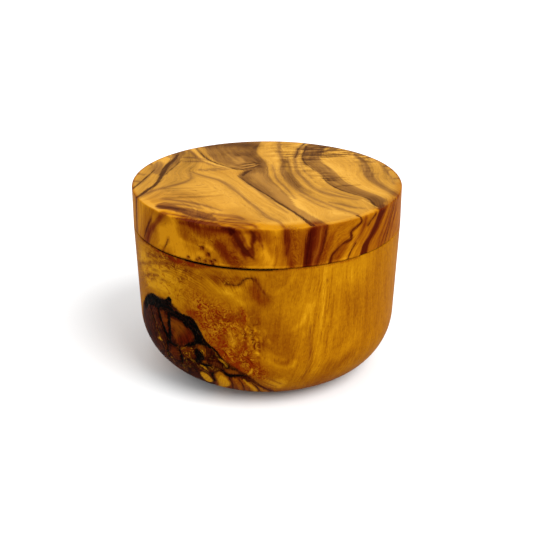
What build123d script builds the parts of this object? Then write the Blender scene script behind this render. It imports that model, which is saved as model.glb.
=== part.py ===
from build123d import *

import os
from math import radians, tan

# A turned wooden shaving mug: a bowl with an upright wall and a broad round bottom corner, a thick
# flat lid whose spigot drops into the bowl's mouth, and the cake of hard shaving soap that the bowl
# keeps. Millimetres, +Z up. The origin is the centre of the standing face, so the mug stands on z = 0.
# Every piece is a solid of revolution about Z.

# Overall
OUTER_RADIUS = 50.0  # of the lid's wall and of the bowl's rim, which meet flush
TOTAL_HEIGHT = 72.0
LID_HEIGHT = 14.5  # the part of the lid that shows above the seam
SEAM_Z = TOTAL_HEIGHT - LID_HEIGHT
SEAM_CHAMFER = 0.35  # on both sides of the seam, which makes its fine V groove

# Bowl, outside
WALL_LEAN = 2.2  # degrees by which the wall draws in on the way down
BOTTOM_CORNER_RADIUS = 23.0
RECESS_RADIUS = 17.0  # the lathe chuck's recess under the foot
RECESS_DEPTH = 1.5
RECESS_FILLET = 0.6

# Bowl, inside
MOUTH_RADIUS = 41.0
MOUTH_DEPTH = 8.0  # the straight seat that guides the lid's spigot
MOUTH_CHAMFER = 0.6
INNER_FOOT_RADIUS = 39.6  # where the inner wall's line would meet the floor
FLOOR_Z = 9.0
INNER_CORNER_RADIUS = 14.0

# Lid
SPIGOT_CLEARANCE = 0.3  # radial
SPIGOT_RADIUS = MOUTH_RADIUS - SPIGOT_CLEARANCE
SPIGOT_HEIGHT = 5.0
SPIGOT_CHAMFER = 0.8
DISH_RADIUS = 34.0  # the shallow hollow turned in the lid's underside
DISH_DEPTH = 1.5
TOP_FLAT_RADIUS = 45.0  # the top falls away a little outside this radius
TOP_FALL = 0.15
TOP_EDGE_ROUND = 0.3

# Soap
SOAP_GAP = 0.4  # the soap has shrunk from the wall by this much
SOAP_HEIGHT = 21.0
SOAP_EDGE_ROUND = 3.0
SOAP_DISH_DEPTH = 1.6  # worn by the brush
SOAP_DISH_RADIUS = 30.0


def corner(sketch, radius, height):
    """The vertex of the sketch nearest to a point of the half section."""
    return sketch.vertices().sort_by_distance((radius, 0, height))[0]


def half_section(*outline):
    """A closed half section in the XZ plane, from (radius, height) points and ready-made edges.
    A point joins the one before it with a straight line, and an edge carries on from its own start."""
    edges = []
    first = last = outline[0]
    for step in outline[1:]:
        if isinstance(step, Edge):
            edges.append(step)
            last = (step.position_at(1).X, step.position_at(1).Z)
        else:
            edges.append(Edge.make_line((last[0], 0, last[1]), (step[0], 0, step[1])))
            last = step
    edges.append(Edge.make_line((last[0], 0, last[1]), (first[0], 0, first[1])))
    return Sketch() + Face(Wire(edges))


def arc_through(start, middle, end):
    """An arc of the half section through three (radius, height) points."""
    points = [(radius, 0, height) for radius, height in (start, middle, end)]
    return Edge.make_three_point_arc(*points)


def dished(rim_radius, rim_height, depth):
    """The arc of a shallow dish, from its rim in to the lowest or highest point on the axis."""
    sphere_radius = (rim_radius**2 + depth**2) / (2 * abs(depth))
    half_radius = rim_radius / 2
    fall = sphere_radius - (sphere_radius**2 - half_radius**2) ** 0.5
    middle_height = rim_height + depth - fall * (1 if depth > 0 else -1)
    return arc_through((rim_radius, rim_height), (half_radius, middle_height), (0, rim_height + depth))


def make_bowl():
    foot_radius = OUTER_RADIUS - SEAM_Z * tan(radians(WALL_LEAN))
    section = half_section(
        (0, RECESS_DEPTH),
        (RECESS_RADIUS, RECESS_DEPTH),
        (RECESS_RADIUS, 0),
        (foot_radius, 0),
        (OUTER_RADIUS, SEAM_Z),
        (MOUTH_RADIUS, SEAM_Z),
        (MOUTH_RADIUS, SEAM_Z - MOUTH_DEPTH),
        (INNER_FOOT_RADIUS, FLOOR_Z),
        (0, FLOOR_Z),
    )
    section = fillet(corner(section, foot_radius, 0), BOTTOM_CORNER_RADIUS)
    section = fillet(corner(section, INNER_FOOT_RADIUS, FLOOR_Z), INNER_CORNER_RADIUS)
    section = fillet(corner(section, RECESS_RADIUS, RECESS_DEPTH), RECESS_FILLET)
    section = fillet(corner(section, RECESS_RADIUS, 0), RECESS_FILLET)
    section = chamfer(corner(section, OUTER_RADIUS, SEAM_Z), SEAM_CHAMFER)
    section = chamfer(corner(section, MOUTH_RADIUS, SEAM_Z), MOUTH_CHAMFER)
    return revolve(section, axis=Axis.Z)


def make_lid():
    spigot_z = SEAM_Z - SPIGOT_HEIGHT
    edge_z = TOTAL_HEIGHT - TOP_FALL
    fall_middle = ((TOP_FLAT_RADIUS + OUTER_RADIUS) / 2, TOTAL_HEIGHT - TOP_FALL / 4)
    section = half_section(
        (0, TOTAL_HEIGHT),
        (TOP_FLAT_RADIUS, TOTAL_HEIGHT),
        arc_through((TOP_FLAT_RADIUS, TOTAL_HEIGHT), fall_middle, (OUTER_RADIUS, edge_z)),
        (OUTER_RADIUS, SEAM_Z),
        (SPIGOT_RADIUS, SEAM_Z),
        (SPIGOT_RADIUS, spigot_z),
        (DISH_RADIUS, spigot_z),
        dished(DISH_RADIUS, spigot_z, DISH_DEPTH),
    )
    section = fillet(corner(section, OUTER_RADIUS, edge_z), TOP_EDGE_ROUND)
    section = chamfer(corner(section, OUTER_RADIUS, SEAM_Z), SEAM_CHAMFER)
    section = chamfer(corner(section, SPIGOT_RADIUS, spigot_z), SPIGOT_CHAMFER)
    return revolve(section, axis=Axis.Z)


def make_soap():
    top_z = FLOOR_Z + SOAP_HEIGHT
    wall_top_radius = MOUTH_RADIUS - SOAP_GAP
    foot_radius = INNER_FOOT_RADIUS - SOAP_GAP
    wall_span = SEAM_Z - MOUTH_DEPTH - FLOOR_Z
    top_radius = foot_radius + (wall_top_radius - foot_radius) * SOAP_HEIGHT / wall_span
    section = half_section(
        (0, FLOOR_Z),
        (foot_radius, FLOOR_Z),
        (top_radius, top_z),
        (SOAP_DISH_RADIUS, top_z),
        dished(SOAP_DISH_RADIUS, top_z, -SOAP_DISH_DEPTH),
    )
    section = fillet(corner(section, foot_radius, FLOOR_Z), INNER_CORNER_RADIUS)
    section = fillet(corner(section, top_radius, top_z), SOAP_EDGE_ROUND)
    return revolve(section, axis=Axis.Z)


PIECES = {
    "bowl": make_bowl,
    "lid": make_lid,
    "soap": make_soap,
}

os.makedirs("parts", exist_ok=True)
for name, make in PIECES.items():
    export_step(make(), f"parts/{name}.step")
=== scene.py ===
from math import cos, hypot, pi, radians, sin, tan

import bpy
import numpy as np
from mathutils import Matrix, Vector


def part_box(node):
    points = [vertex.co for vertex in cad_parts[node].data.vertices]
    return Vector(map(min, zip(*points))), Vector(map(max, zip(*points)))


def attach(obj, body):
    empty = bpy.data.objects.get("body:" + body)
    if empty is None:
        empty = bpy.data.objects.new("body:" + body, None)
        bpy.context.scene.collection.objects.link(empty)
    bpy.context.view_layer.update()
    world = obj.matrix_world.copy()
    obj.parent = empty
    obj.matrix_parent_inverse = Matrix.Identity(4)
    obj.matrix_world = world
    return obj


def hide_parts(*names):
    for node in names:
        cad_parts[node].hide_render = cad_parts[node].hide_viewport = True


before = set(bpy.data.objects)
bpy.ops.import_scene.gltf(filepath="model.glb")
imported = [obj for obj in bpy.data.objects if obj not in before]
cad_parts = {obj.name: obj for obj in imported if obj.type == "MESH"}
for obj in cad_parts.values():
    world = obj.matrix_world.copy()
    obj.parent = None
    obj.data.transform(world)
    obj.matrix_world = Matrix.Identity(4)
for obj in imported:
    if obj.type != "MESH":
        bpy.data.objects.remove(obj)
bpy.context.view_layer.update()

# A turned wooden shaving mug: bowl, lid and a cake of soap, each a lathe mesh in its CAD node's place.
# Lengths of the mug are millimetres until a mesh is made, and those of the studio are metres. An angle
# round the mug is in degrees from the front (-Y) towards +X.

MM = 0.001
LID_LOW, LID_HIGH = (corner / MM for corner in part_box("lid"))
BOWL_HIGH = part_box("bowl")[1] / MM
SOAP_LOW, SOAP_HIGH = (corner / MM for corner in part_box("soap"))
RADIUS = LID_HIGH[0]
TOP_Z = LID_HIGH[2]
SEAM_Z = BOWL_HIGH[2]
SPIGOT_Z = LID_LOW[2]
FLOOR_Z = SOAP_LOW[2]
LID_WALL = TOP_Z - SEAM_Z
SEAM_CHAMFER = 0.35

WALL_LEAN = 2.2
FOOT_RADIUS = RADIUS - SEAM_Z * tan(radians(WALL_LEAN))
BOTTOM_CORNER = 23.0
RECESS_RADIUS = 17.0
RECESS_DEPTH = 1.5
MOUTH_RADIUS = 41.0
MOUTH_Z = SEAM_Z - 8.0
INNER_FOOT = 39.6
INNER_CORNER = 14.0
SPIGOT_RADIUS = 40.7
DISH_RADIUS = 34.0
DISH_DEPTH = 1.5
TOP_FLAT = 45.0
TOP_FALL = 0.15

SOAP_TOP = SOAP_HIGH[2]
SOAP_RADIUS = SOAP_HIGH[0]
SOAP_DISH_RADIUS = 30.0
SOAP_DISH_DEPTH = 1.6
SOAP_CORNER = 13.5

PAINTED_DROP = 66.0  # how far down the bowl's outside, from the seam, the painted figure goes
DEGREE = radians(1) * RADIUS  # millimetres round the wall for each degree


# ---------------------------------------------------------------- curves and profiles

def smooth_curve(points, closed=False, spans=7):
    """A Catmull-Rom curve through the points, as an array of points on it."""
    points = np.array(points, float)
    if len(points) == 2 and not closed:
        return points
    if closed:
        knots = np.vstack([points[-1:], points, points[:2]])
    else:
        knots = np.vstack([2 * points[0] - points[1], points, 2 * points[-1] - points[-2]])
    t = np.linspace(0, 1, spans, endpoint=False)[:, None]
    pieces = []
    for a, b, c, d in zip(knots[:-3], knots[1:-2], knots[2:-1], knots[3:]):
        pieces.append(
            0.5 * (2 * b + (c - a) * t + (2 * a - 5 * b + 4 * c - d) * t**2
                   + (3 * b - a - 3 * c + d) * t**3)
        )
    pieces.append(points[:1] if closed else points[-1:])
    return np.vstack(pieces)


def rounded_path(corners, step):
    """Points at most a step apart along (radius, height, rounding) corners, each rounded by an arc."""
    spine = [np.array(corners[0][:2], float)]
    for before, corner, after in zip(corners, corners[1:], corners[2:]):
        here = np.array(corner[:2], float)
        back = np.array(before[:2], float) - here
        ahead = np.array(after[:2], float) - here
        back /= np.linalg.norm(back)
        ahead /= np.linalg.norm(ahead)
        half = np.arccos(np.clip(back @ ahead, -1, 1)) / 2
        rounding = corner[2]
        if rounding == 0:
            spine.append(here)
            continue
        centre = here + (back + ahead) / np.linalg.norm(back + ahead) * rounding / np.sin(half)
        first = here + back * rounding / np.tan(half) - centre
        turn = pi - 2 * half
        if first[0] * (here - centre)[1] - first[1] * (here - centre)[0] < 0:
            turn = -turn
        count = max(4, int(np.ceil(abs(turn) * rounding / step)))
        for angle in np.linspace(0, turn, count + 1):
            spun = (first[0] * cos(angle) - first[1] * sin(angle),
                    first[0] * sin(angle) + first[1] * cos(angle))
            spine.append(centre + spun)
    spine.append(np.array(corners[-1][:2], float))
    path = [spine[0]]
    for start, end in zip(spine, spine[1:]):
        count = max(1, int(np.ceil(np.linalg.norm(end - start) / step)))
        path += [start + (end - start) * (i + 1) / count for i in range(count)]
    return np.array(path)


def column_angles(front_step, back_step, front_half=82.0):
    """Angles round the mug in radians, closer together at the front, a multiple of 16 in number."""
    front = int(np.ceil(2 * radians(front_half) * RADIUS / front_step / 16)) * 16
    back = int(np.ceil(2 * (pi - radians(front_half)) * RADIUS / back_step / 16)) * 16
    first = np.linspace(-radians(front_half), radians(front_half), front, endpoint=False)
    rest = np.linspace(radians(front_half), 2 * pi - radians(front_half), back, endpoint=False)
    return np.concatenate([first, rest])


# ---------------------------------------------------------------- noise and smooth fields

def lattice_noise(points, cell, seed):
    """Smooth value noise in -1..1 at 3-D points, with features about a cell across."""
    table = np.random.default_rng(seed).uniform(-1, 1, (32, 32, 32))
    place = points / cell
    low = np.floor(place).astype(int)
    part = place - low
    part = part * part * (3 - 2 * part)
    total = 0
    for corner in np.ndindex(2, 2, 2):
        index = (low + corner) % 32
        weight = np.prod(np.where(corner, part, 1 - part), axis=1)
        total = total + weight * table[index[:, 0], index[:, 1], index[:, 2]]
    return total


class Field:
    """A smooth scalar field in space that takes given values at given points."""

    def __init__(self, guides):
        points, values = [], []
        for value, guide in guides:
            points += list(guide)
            values += [value] * len(guide)
        self.centres = np.array(points, float)
        count = len(values)
        linear = np.hstack([np.ones((count, 1)), self.centres])
        gap = np.linalg.norm(self.centres[:, None] - self.centres[None], axis=2)
        system = np.zeros((count + 4, count + 4))
        system[:count, :count] = gap**3 + np.eye(count) * 40.0
        system[:count, count:] = linear
        system[count:, :count] = linear.T
        self.weights = np.linalg.solve(system, np.append(values, np.zeros(4)))

    def __call__(self, points):
        result = np.empty(len(points))
        for start in range(0, len(points), 8000):
            part = points[start:start + 8000]
            gap = np.linalg.norm(part[:, None] - self.centres[None], axis=2)
            result[start:start + 8000] = (
                gap**3 @ self.weights[:-4] + self.weights[-4] + part @ self.weights[-3:]
            )
        return result


# ---------------------------------------------------------------- painting on a chart

class Canvas:
    """Fields painted on a surface through its flat chart, in millimetres. A sharp field holds the
    distance inside its marks, and below zero outside them. A soft field adds up brush strokes.
    unit is what one step of a place's two numbers measures, and wrap is the way once round."""

    OUTSIDE = -3.0

    def __init__(self, chart, unit=(1, 1), wrap=None):
        self.chart = chart
        self.unit = unit
        self.wrap = wrap
        self.sharp = {}
        self.soft = {}

    def curve(self, places, closed=False):
        """A smooth curve through the places, in the chart's millimetres."""
        return smooth_curve(np.array(places, float) * self.unit, closed)

    def near(self, curve, reach):
        """The chart's points within reach of the curve's box: their indices and the points."""
        middle = curve[:, 0].mean()
        across = self.chart[:, 0]
        if self.wrap:
            across = middle + (across - middle + self.wrap / 2) % self.wrap - self.wrap / 2
        low, high = curve.min(0) - reach, curve.max(0) + reach
        inside = (across > low[0]) & (across < high[0])
        inside &= (self.chart[:, 1] > low[1]) & (self.chart[:, 1] < high[1])
        index = np.flatnonzero(inside)
        return index, np.column_stack([across[index], self.chart[index, 1]])

    def measure(self, points, curve):
        """Each point's distance to the curve, and the share of the curve's length there."""
        best = np.full(len(points), 1e9)
        share = np.zeros(len(points))
        lengths = np.append(0, np.cumsum(np.linalg.norm(np.diff(curve, axis=0), axis=1)))
        for start, end, done, after in zip(curve, curve[1:], lengths, lengths[1:]):
            run = end - start
            along = np.clip((points - start) @ run / max(run @ run, 1e-9), 0, 1)
            gap = np.linalg.norm(points - start - along[:, None] * run, axis=1)
            closer = gap < best
            best = np.where(closer, gap, best)
            share = np.where(closer, done + along * (after - done), share)
        return best, share / max(lengths[-1], 1e-9)

    def raise_to(self, name, index, margin):
        """Takes the larger of a sharp field and the margin at the indexed points."""
        field = self.sharp.setdefault(name, np.full(len(self.chart), self.OUTSIDE))
        field[index] = np.maximum(field[index], margin)

    def line(self, name, widths, *places):
        """A line of the given half width, or one that goes through several half widths."""
        widths = np.atleast_1d(widths).astype(float)
        curve = self.curve(places)
        index, points = self.near(curve, widths.max() - self.OUTSIDE)
        gap, share = self.measure(points, curve)
        width = np.interp(share, np.linspace(0, 1, len(widths)), widths)
        self.raise_to(name, index, width - gap)

    def area(self, name, *places):
        """The inside of a closed curve."""
        curve = self.curve(places, closed=True)
        index, points = self.near(curve, -self.OUTSIDE)
        gap, _ = self.measure(points, curve)
        inside = np.zeros(len(points), bool)
        for (ax, ay), (bx, by) in zip(curve, curve[1:]):
            crosses = (ay > points[:, 1]) != (by > points[:, 1])
            slope = (points[:, 1] - ay) / (by - ay if by != ay else 1e-9)
            inside ^= crosses & (points[:, 0] < ax + slope * (bx - ax))
        self.raise_to(name, index, np.where(inside, gap, -gap))

    def brush(self, name, amount, width, *places):
        """A soft stroke, or a dab at a single place, that fades out over about its width."""
        curve = self.curve(places if len(places) > 1 else places * 2)
        index, points = self.near(curve, 3 * width)
        gap, _ = self.measure(points, curve)
        field = self.soft.setdefault(name, np.zeros(len(self.chart)))
        field[index] += amount * np.exp(-((gap / width) ** 2))

    def lines(self, name, rows):
        """Several lines, from (widths, place, place...) rows."""
        for widths, *places in rows:
            self.line(name, widths, *places)

    def strokes(self, name, rows):
        """Several strokes, from (amount, width, place, place...) rows."""
        for amount, width, *places in rows:
            self.brush(name, amount, width, *places)

    def areas(self, name, rows):
        """Several areas, from (place, place...) rows."""
        for places in rows:
            self.area(name, *places)

    def field(self, name):
        """A field's values, whether or not anything was painted in it."""
        if name in self.sharp:
            return self.sharp[name]
        if name in self.soft:
            return self.soft[name]
        return np.full(len(self.chart), self.OUTSIDE if name in SHARP_FIELDS else 0.0)

    def fields(self):
        return {name: self.field(name) for name in SHARP_FIELDS + SOFT_FIELDS}


SHARP_FIELDS = ("brown", "line", "vein", "gold", "ember", "facet", "char")
SOFT_FIELDS = ("tone", "red", "burr", "ripple", "straight", "glow", "seam_shade", "wall", "inner")


# ---------------------------------------------------------------- lathe meshes

def stride_at(radius, *limits):
    """The stride of a ring at this radius: 1 outside all the limits, and doubled inside each one."""
    return 2 ** sum(int(radius <= limit) for limit in limits)


class Lathe:
    """A closed surface of revolution from a pole on the axis, along a profile, to another pole.
    strides says which columns each ring keeps: 1 for all, 2 for every second one, and so on."""

    def __init__(self, profile, strides, angles):
        self.profile = profile
        self.strides = strides
        self.angles = angles
        lengths = np.linalg.norm(np.diff(profile, axis=0), axis=1)
        self.length = np.append(0, np.cumsum(lengths))
        self.ring_of, self.column_of, self.starts = [], [], []
        for ring, stride in enumerate(strides):
            columns = [0] if self.at_pole(ring) else range(0, len(angles), stride)
            self.starts.append(len(self.ring_of))
            self.ring_of += [ring] * len(columns)
            self.column_of += list(columns)
        self.ring_of = np.array(self.ring_of)
        self.angle = angles[np.array(self.column_of)]
        radius, height = profile[self.ring_of].T
        self.points = np.column_stack([radius * np.sin(self.angle), -radius * np.cos(self.angle), height])
        slope = np.gradient(profile, axis=0)
        slope /= np.linalg.norm(slope, axis=1)[:, None]
        across, up = -slope[self.ring_of, 1], slope[self.ring_of, 0]
        self.normals = np.column_stack([across * np.sin(self.angle), -across * np.cos(self.angle), up])

    def at_pole(self, ring):
        return self.profile[ring][0] < 1e-6

    def count(self, ring):
        """How many points the ring has."""
        if self.at_pole(ring):
            return 1
        return len(self.angles) // self.strides[ring]

    def faces(self):
        """Faces, each with the profile's span that it belongs to."""
        faces, spans = [], []
        for ring in range(len(self.profile) - 1):
            a, b = self.starts[ring], self.starts[ring + 1]
            here, there = self.count(ring), self.count(ring + 1)
            before = len(faces)
            if here == 1:
                faces += [(a, b + (j + 1) % there, b + j) for j in range(there)]
            elif there == 1:
                faces += [(b, a + j, a + (j + 1) % here) for j in range(here)]
            elif here == there:
                faces += [(a + j, a + (j + 1) % here, b + (j + 1) % here, b + j) for j in range(here)]
            elif here > there:
                for j in range(there):
                    low, middle, high = a + 2 * j, a + 2 * j + 1, a + (2 * j + 2) % here
                    this, following = b + j, b + (j + 1) % there
                    faces += [(low, middle, this), (middle, following, this), (middle, high, following)]
            else:
                for j in range(here):
                    low, middle, high = b + 2 * j, b + 2 * j + 1, b + (2 * j + 2) % there
                    this, following = a + j, a + (j + 1) % here
                    faces += [(this, middle, low), (this, following, middle), (following, high, middle)]
            spans += [ring] * (len(faces) - before)
        return faces, np.array(spans)

    def build(self, name, relief, fields, seam_ring):
        """The mesh object, displaced by relief, with its fields as attributes and a bake layer whose
        two discs meet at seam_ring."""
        faces, spans = self.faces()
        points = self.points + self.normals * relief[:, None]
        mesh = bpy.data.meshes.new(name)
        mesh.from_pydata((points * MM).tolist(), [], faces)
        mesh.polygons.foreach_set("use_smooth", [True] * len(faces))
        for field, values in fields.items():
            kind = "FLOAT_VECTOR" if values.ndim == 2 else "FLOAT"
            layer = mesh.attributes.new(field, kind, "POINT")
            layer.data.foreach_set("vector" if values.ndim == 2 else "value", values.ravel())
        self.lay_out(mesh, spans, seam_ring)
        mesh.validate()
        mesh.update()
        piece = bpy.data.objects.new(name, mesh)
        bpy.context.scene.collection.objects.link(piece)
        return piece

    def lay_out(self, mesh, spans, seam_ring):
        """Unrolls the first part onto a large disc and the rest onto a small one."""
        first_size, last_size, margin = 0.395, 0.175, 0.006
        first_length = self.length[seam_ring]
        last_length = self.length[-1] - first_length
        vertex = np.empty(len(mesh.loops), int)
        mesh.loops.foreach_get("vertex_index", vertex)
        face_loops = np.empty(len(mesh.polygons), int)
        mesh.polygons.foreach_get("loop_total", face_loops)
        first = np.repeat(spans, face_loops) < seam_ring
        along = self.length[self.ring_of[vertex]]
        reach = np.where(first, along / first_length * first_size,
                         (self.length[-1] - along) / last_length * last_size)
        centre = np.where(first, first_size + margin, 1 - last_size - margin)
        turn = np.where(first, self.angle[vertex], -self.angle[vertex])
        flat = np.column_stack([centre + reach * np.sin(turn), centre - reach * np.cos(turn)])
        layer = mesh.uv_layers.new(name="OFBake")
        layer.data.foreach_set("uv", flat.ravel())


# ---------------------------------------------------------------- material nodes

class Shader:
    """Short calls for building one material's nodes."""

    def __init__(self, name, roughness):
        self.material = bpy.data.materials.new(name)
        self.material.use_nodes = True
        self.tree = self.material.node_tree
        self.surface = self.tree.nodes["Principled BSDF"]
        self.surface.inputs["Roughness"].default_value = roughness
        self.place = self.node("ShaderNodeTexCoord").outputs["Object"]

    def put(self, value, socket):
        if isinstance(value, bpy.types.NodeSocket):
            self.tree.links.new(value, socket)
        else:
            socket.default_value = value

    def node(self, kind, inputs=(), **settings):
        node = self.tree.nodes.new(kind)
        for key, value in settings.items():
            setattr(node, key, value)
        for key, value in dict(inputs).items():
            self.put(value, node.inputs[key])
        return node

    def attribute(self, name, vector=False):
        node = self.node("ShaderNodeAttribute", attribute_name=name)
        return node.outputs["Vector" if vector else "Fac"]

    def math(self, operation, *values, clamp=False):
        node = self.node("ShaderNodeMath", enumerate(values), operation=operation, use_clamp=clamp)
        return node.outputs[0]

    def about(self, value, spread, middle=0.0):
        """A noise value, which lies round 0.5, spread out round another middle."""
        return self.math("MULTIPLY_ADD", value, spread, middle - spread / 2)

    def stretch(self, vector, x, y, z):
        node = self.node("ShaderNodeVectorMath", {0: vector, 1: (x, y, z)}, operation="MULTIPLY")
        return node.outputs[0]

    def shift(self, vector, other):
        node = self.node("ShaderNodeVectorMath", {0: vector, 1: other}, operation="ADD")
        return node.outputs[0]

    def noise(self, vector, scale, detail=2.0, roughness=0.5, distortion=0.0, colour=False):
        inputs = {"Vector": vector, "Scale": scale, "Detail": detail, "Roughness": roughness,
                  "Distortion": distortion}
        node = self.node("ShaderNodeTexNoise", inputs)
        return node.outputs["Color" if colour else "Fac"]

    def step(self, value, low, high, to_low=0.0, to_high=1.0):
        """A smooth step of value from low to high."""
        inputs = {"Value": value, "From Min": low, "From Max": high, "To Min": to_low, "To Max": to_high}
        return self.node("ShaderNodeMapRange", inputs, interpolation_type="SMOOTHSTEP").outputs[0]

    def mix(self, factor, a, b, blend="MIX"):
        node = self.node("ShaderNodeMix", {0: factor, 6: a, 7: b}, data_type="RGBA", blend_type=blend)
        return node.outputs[2]

    def ramp(self, value, colours, low=0.0, high=1.0):
        """Colours spread evenly over values from low to high."""
        node = self.node("ShaderNodeValToRGB", {"Fac": value})
        bar = node.color_ramp.elements
        places = np.linspace(low, high, len(colours))
        bar[0].position, bar[0].color = places[0], (*colours[0], 1)
        bar[1].position, bar[1].color = places[-1], (*colours[-1], 1)
        for place, colour in zip(places[1:-1], colours[1:-1]):
            bar.new(place).color = (*colour, 1)
        return node.outputs["Color"]

    def bump(self, *layers):
        """Bumps on top of each other, from (height, strength, distance in millimetres)."""
        normal = None
        for height, strength, distance in layers:
            inputs = {"Height": height, "Strength": strength, "Distance": distance * MM}
            if normal is not None:
                inputs["Normal"] = normal
            normal = self.node("ShaderNodeBump", inputs).outputs[0]
        self.put(normal, self.surface.inputs["Normal"])


def rgb(red, green, blue):
    return (red, green, blue, 1.0)


# The colours of the wood on the lid's face, and on the two turned walls, where the cut is across the
# grain. The face's colours are paler, with painted sheen in them; the walls' colours are darker and
# redder, partly for the end grain and partly as painted shade. Lists run from dark to pale.
FACE_WITH_SHEEN = {
    "wood": ((0.120, 0.048, 0.007), (0.210, 0.095, 0.012), (0.290, 0.135, 0.017), (0.360, 0.171, 0.021),
             (0.420, 0.206, 0.027), (0.480, 0.250, 0.038)),
    "band": ((0.045, 0.015, 0.003), (0.100, 0.038, 0.007), (0.165, 0.071, 0.014), (0.250, 0.114, 0.021)),
    "line": (0.045, 0.015, 0.003), "red": (0.25, 0.088, 0.006), "curl": (0.50, 0.270, 0.045),
}
LID_WALL_WOOD = {
    "wood": ((0.055, 0.004, 0.0004), (0.110, 0.018, 0.0006), (0.168, 0.043, 0.0008), (0.228, 0.072, 0.001),
             (0.290, 0.105, 0.0015), (0.385, 0.155, 0.003)),
    "band": ((0.020, 0.001, 0.0004), (0.050, 0.003, 0.0005), (0.095, 0.013, 0.001), (0.165, 0.042, 0.002)),
    "line": (0.042, 0.004, 0.0006), "red": (0.085, 0.009, 0.0005), "curl": (0.400, 0.175, 0.004),
}
BOWL_WALL_WOOD = {
    "wood": ((0.060, 0.006, 0.0004), (0.120, 0.024, 0.0006), (0.180, 0.055, 0.0008), (0.245, 0.088, 0.001),
             (0.310, 0.126, 0.0015), (0.400, 0.180, 0.004)),
    "band": ((0.022, 0.001, 0.0004), (0.050, 0.003, 0.0005), (0.090, 0.014, 0.001), (0.160, 0.045, 0.002)),
    "line": (0.028, 0.003, 0.0006), "red": (0.120, 0.010, 0.0005), "curl": (0.400, 0.175, 0.004),
}
KNOT = {
    "ground": ((0.003, 0.0005, 0.0002), (0.012, 0.0012, 0.0003), (0.034, 0.004, 0.0005),
               (0.080, 0.020, 0.002)),
    "facet": ((0.010, 0.001, 0.0003), (0.034, 0.002, 0.0003), (0.065, 0.005, 0.0004)),
    "glow": (0.125, 0.030, 0.001), "char": (0.0008, 0.0005, 0.0004), "crust": (0.014, 0.008, 0.004),
}


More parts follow.
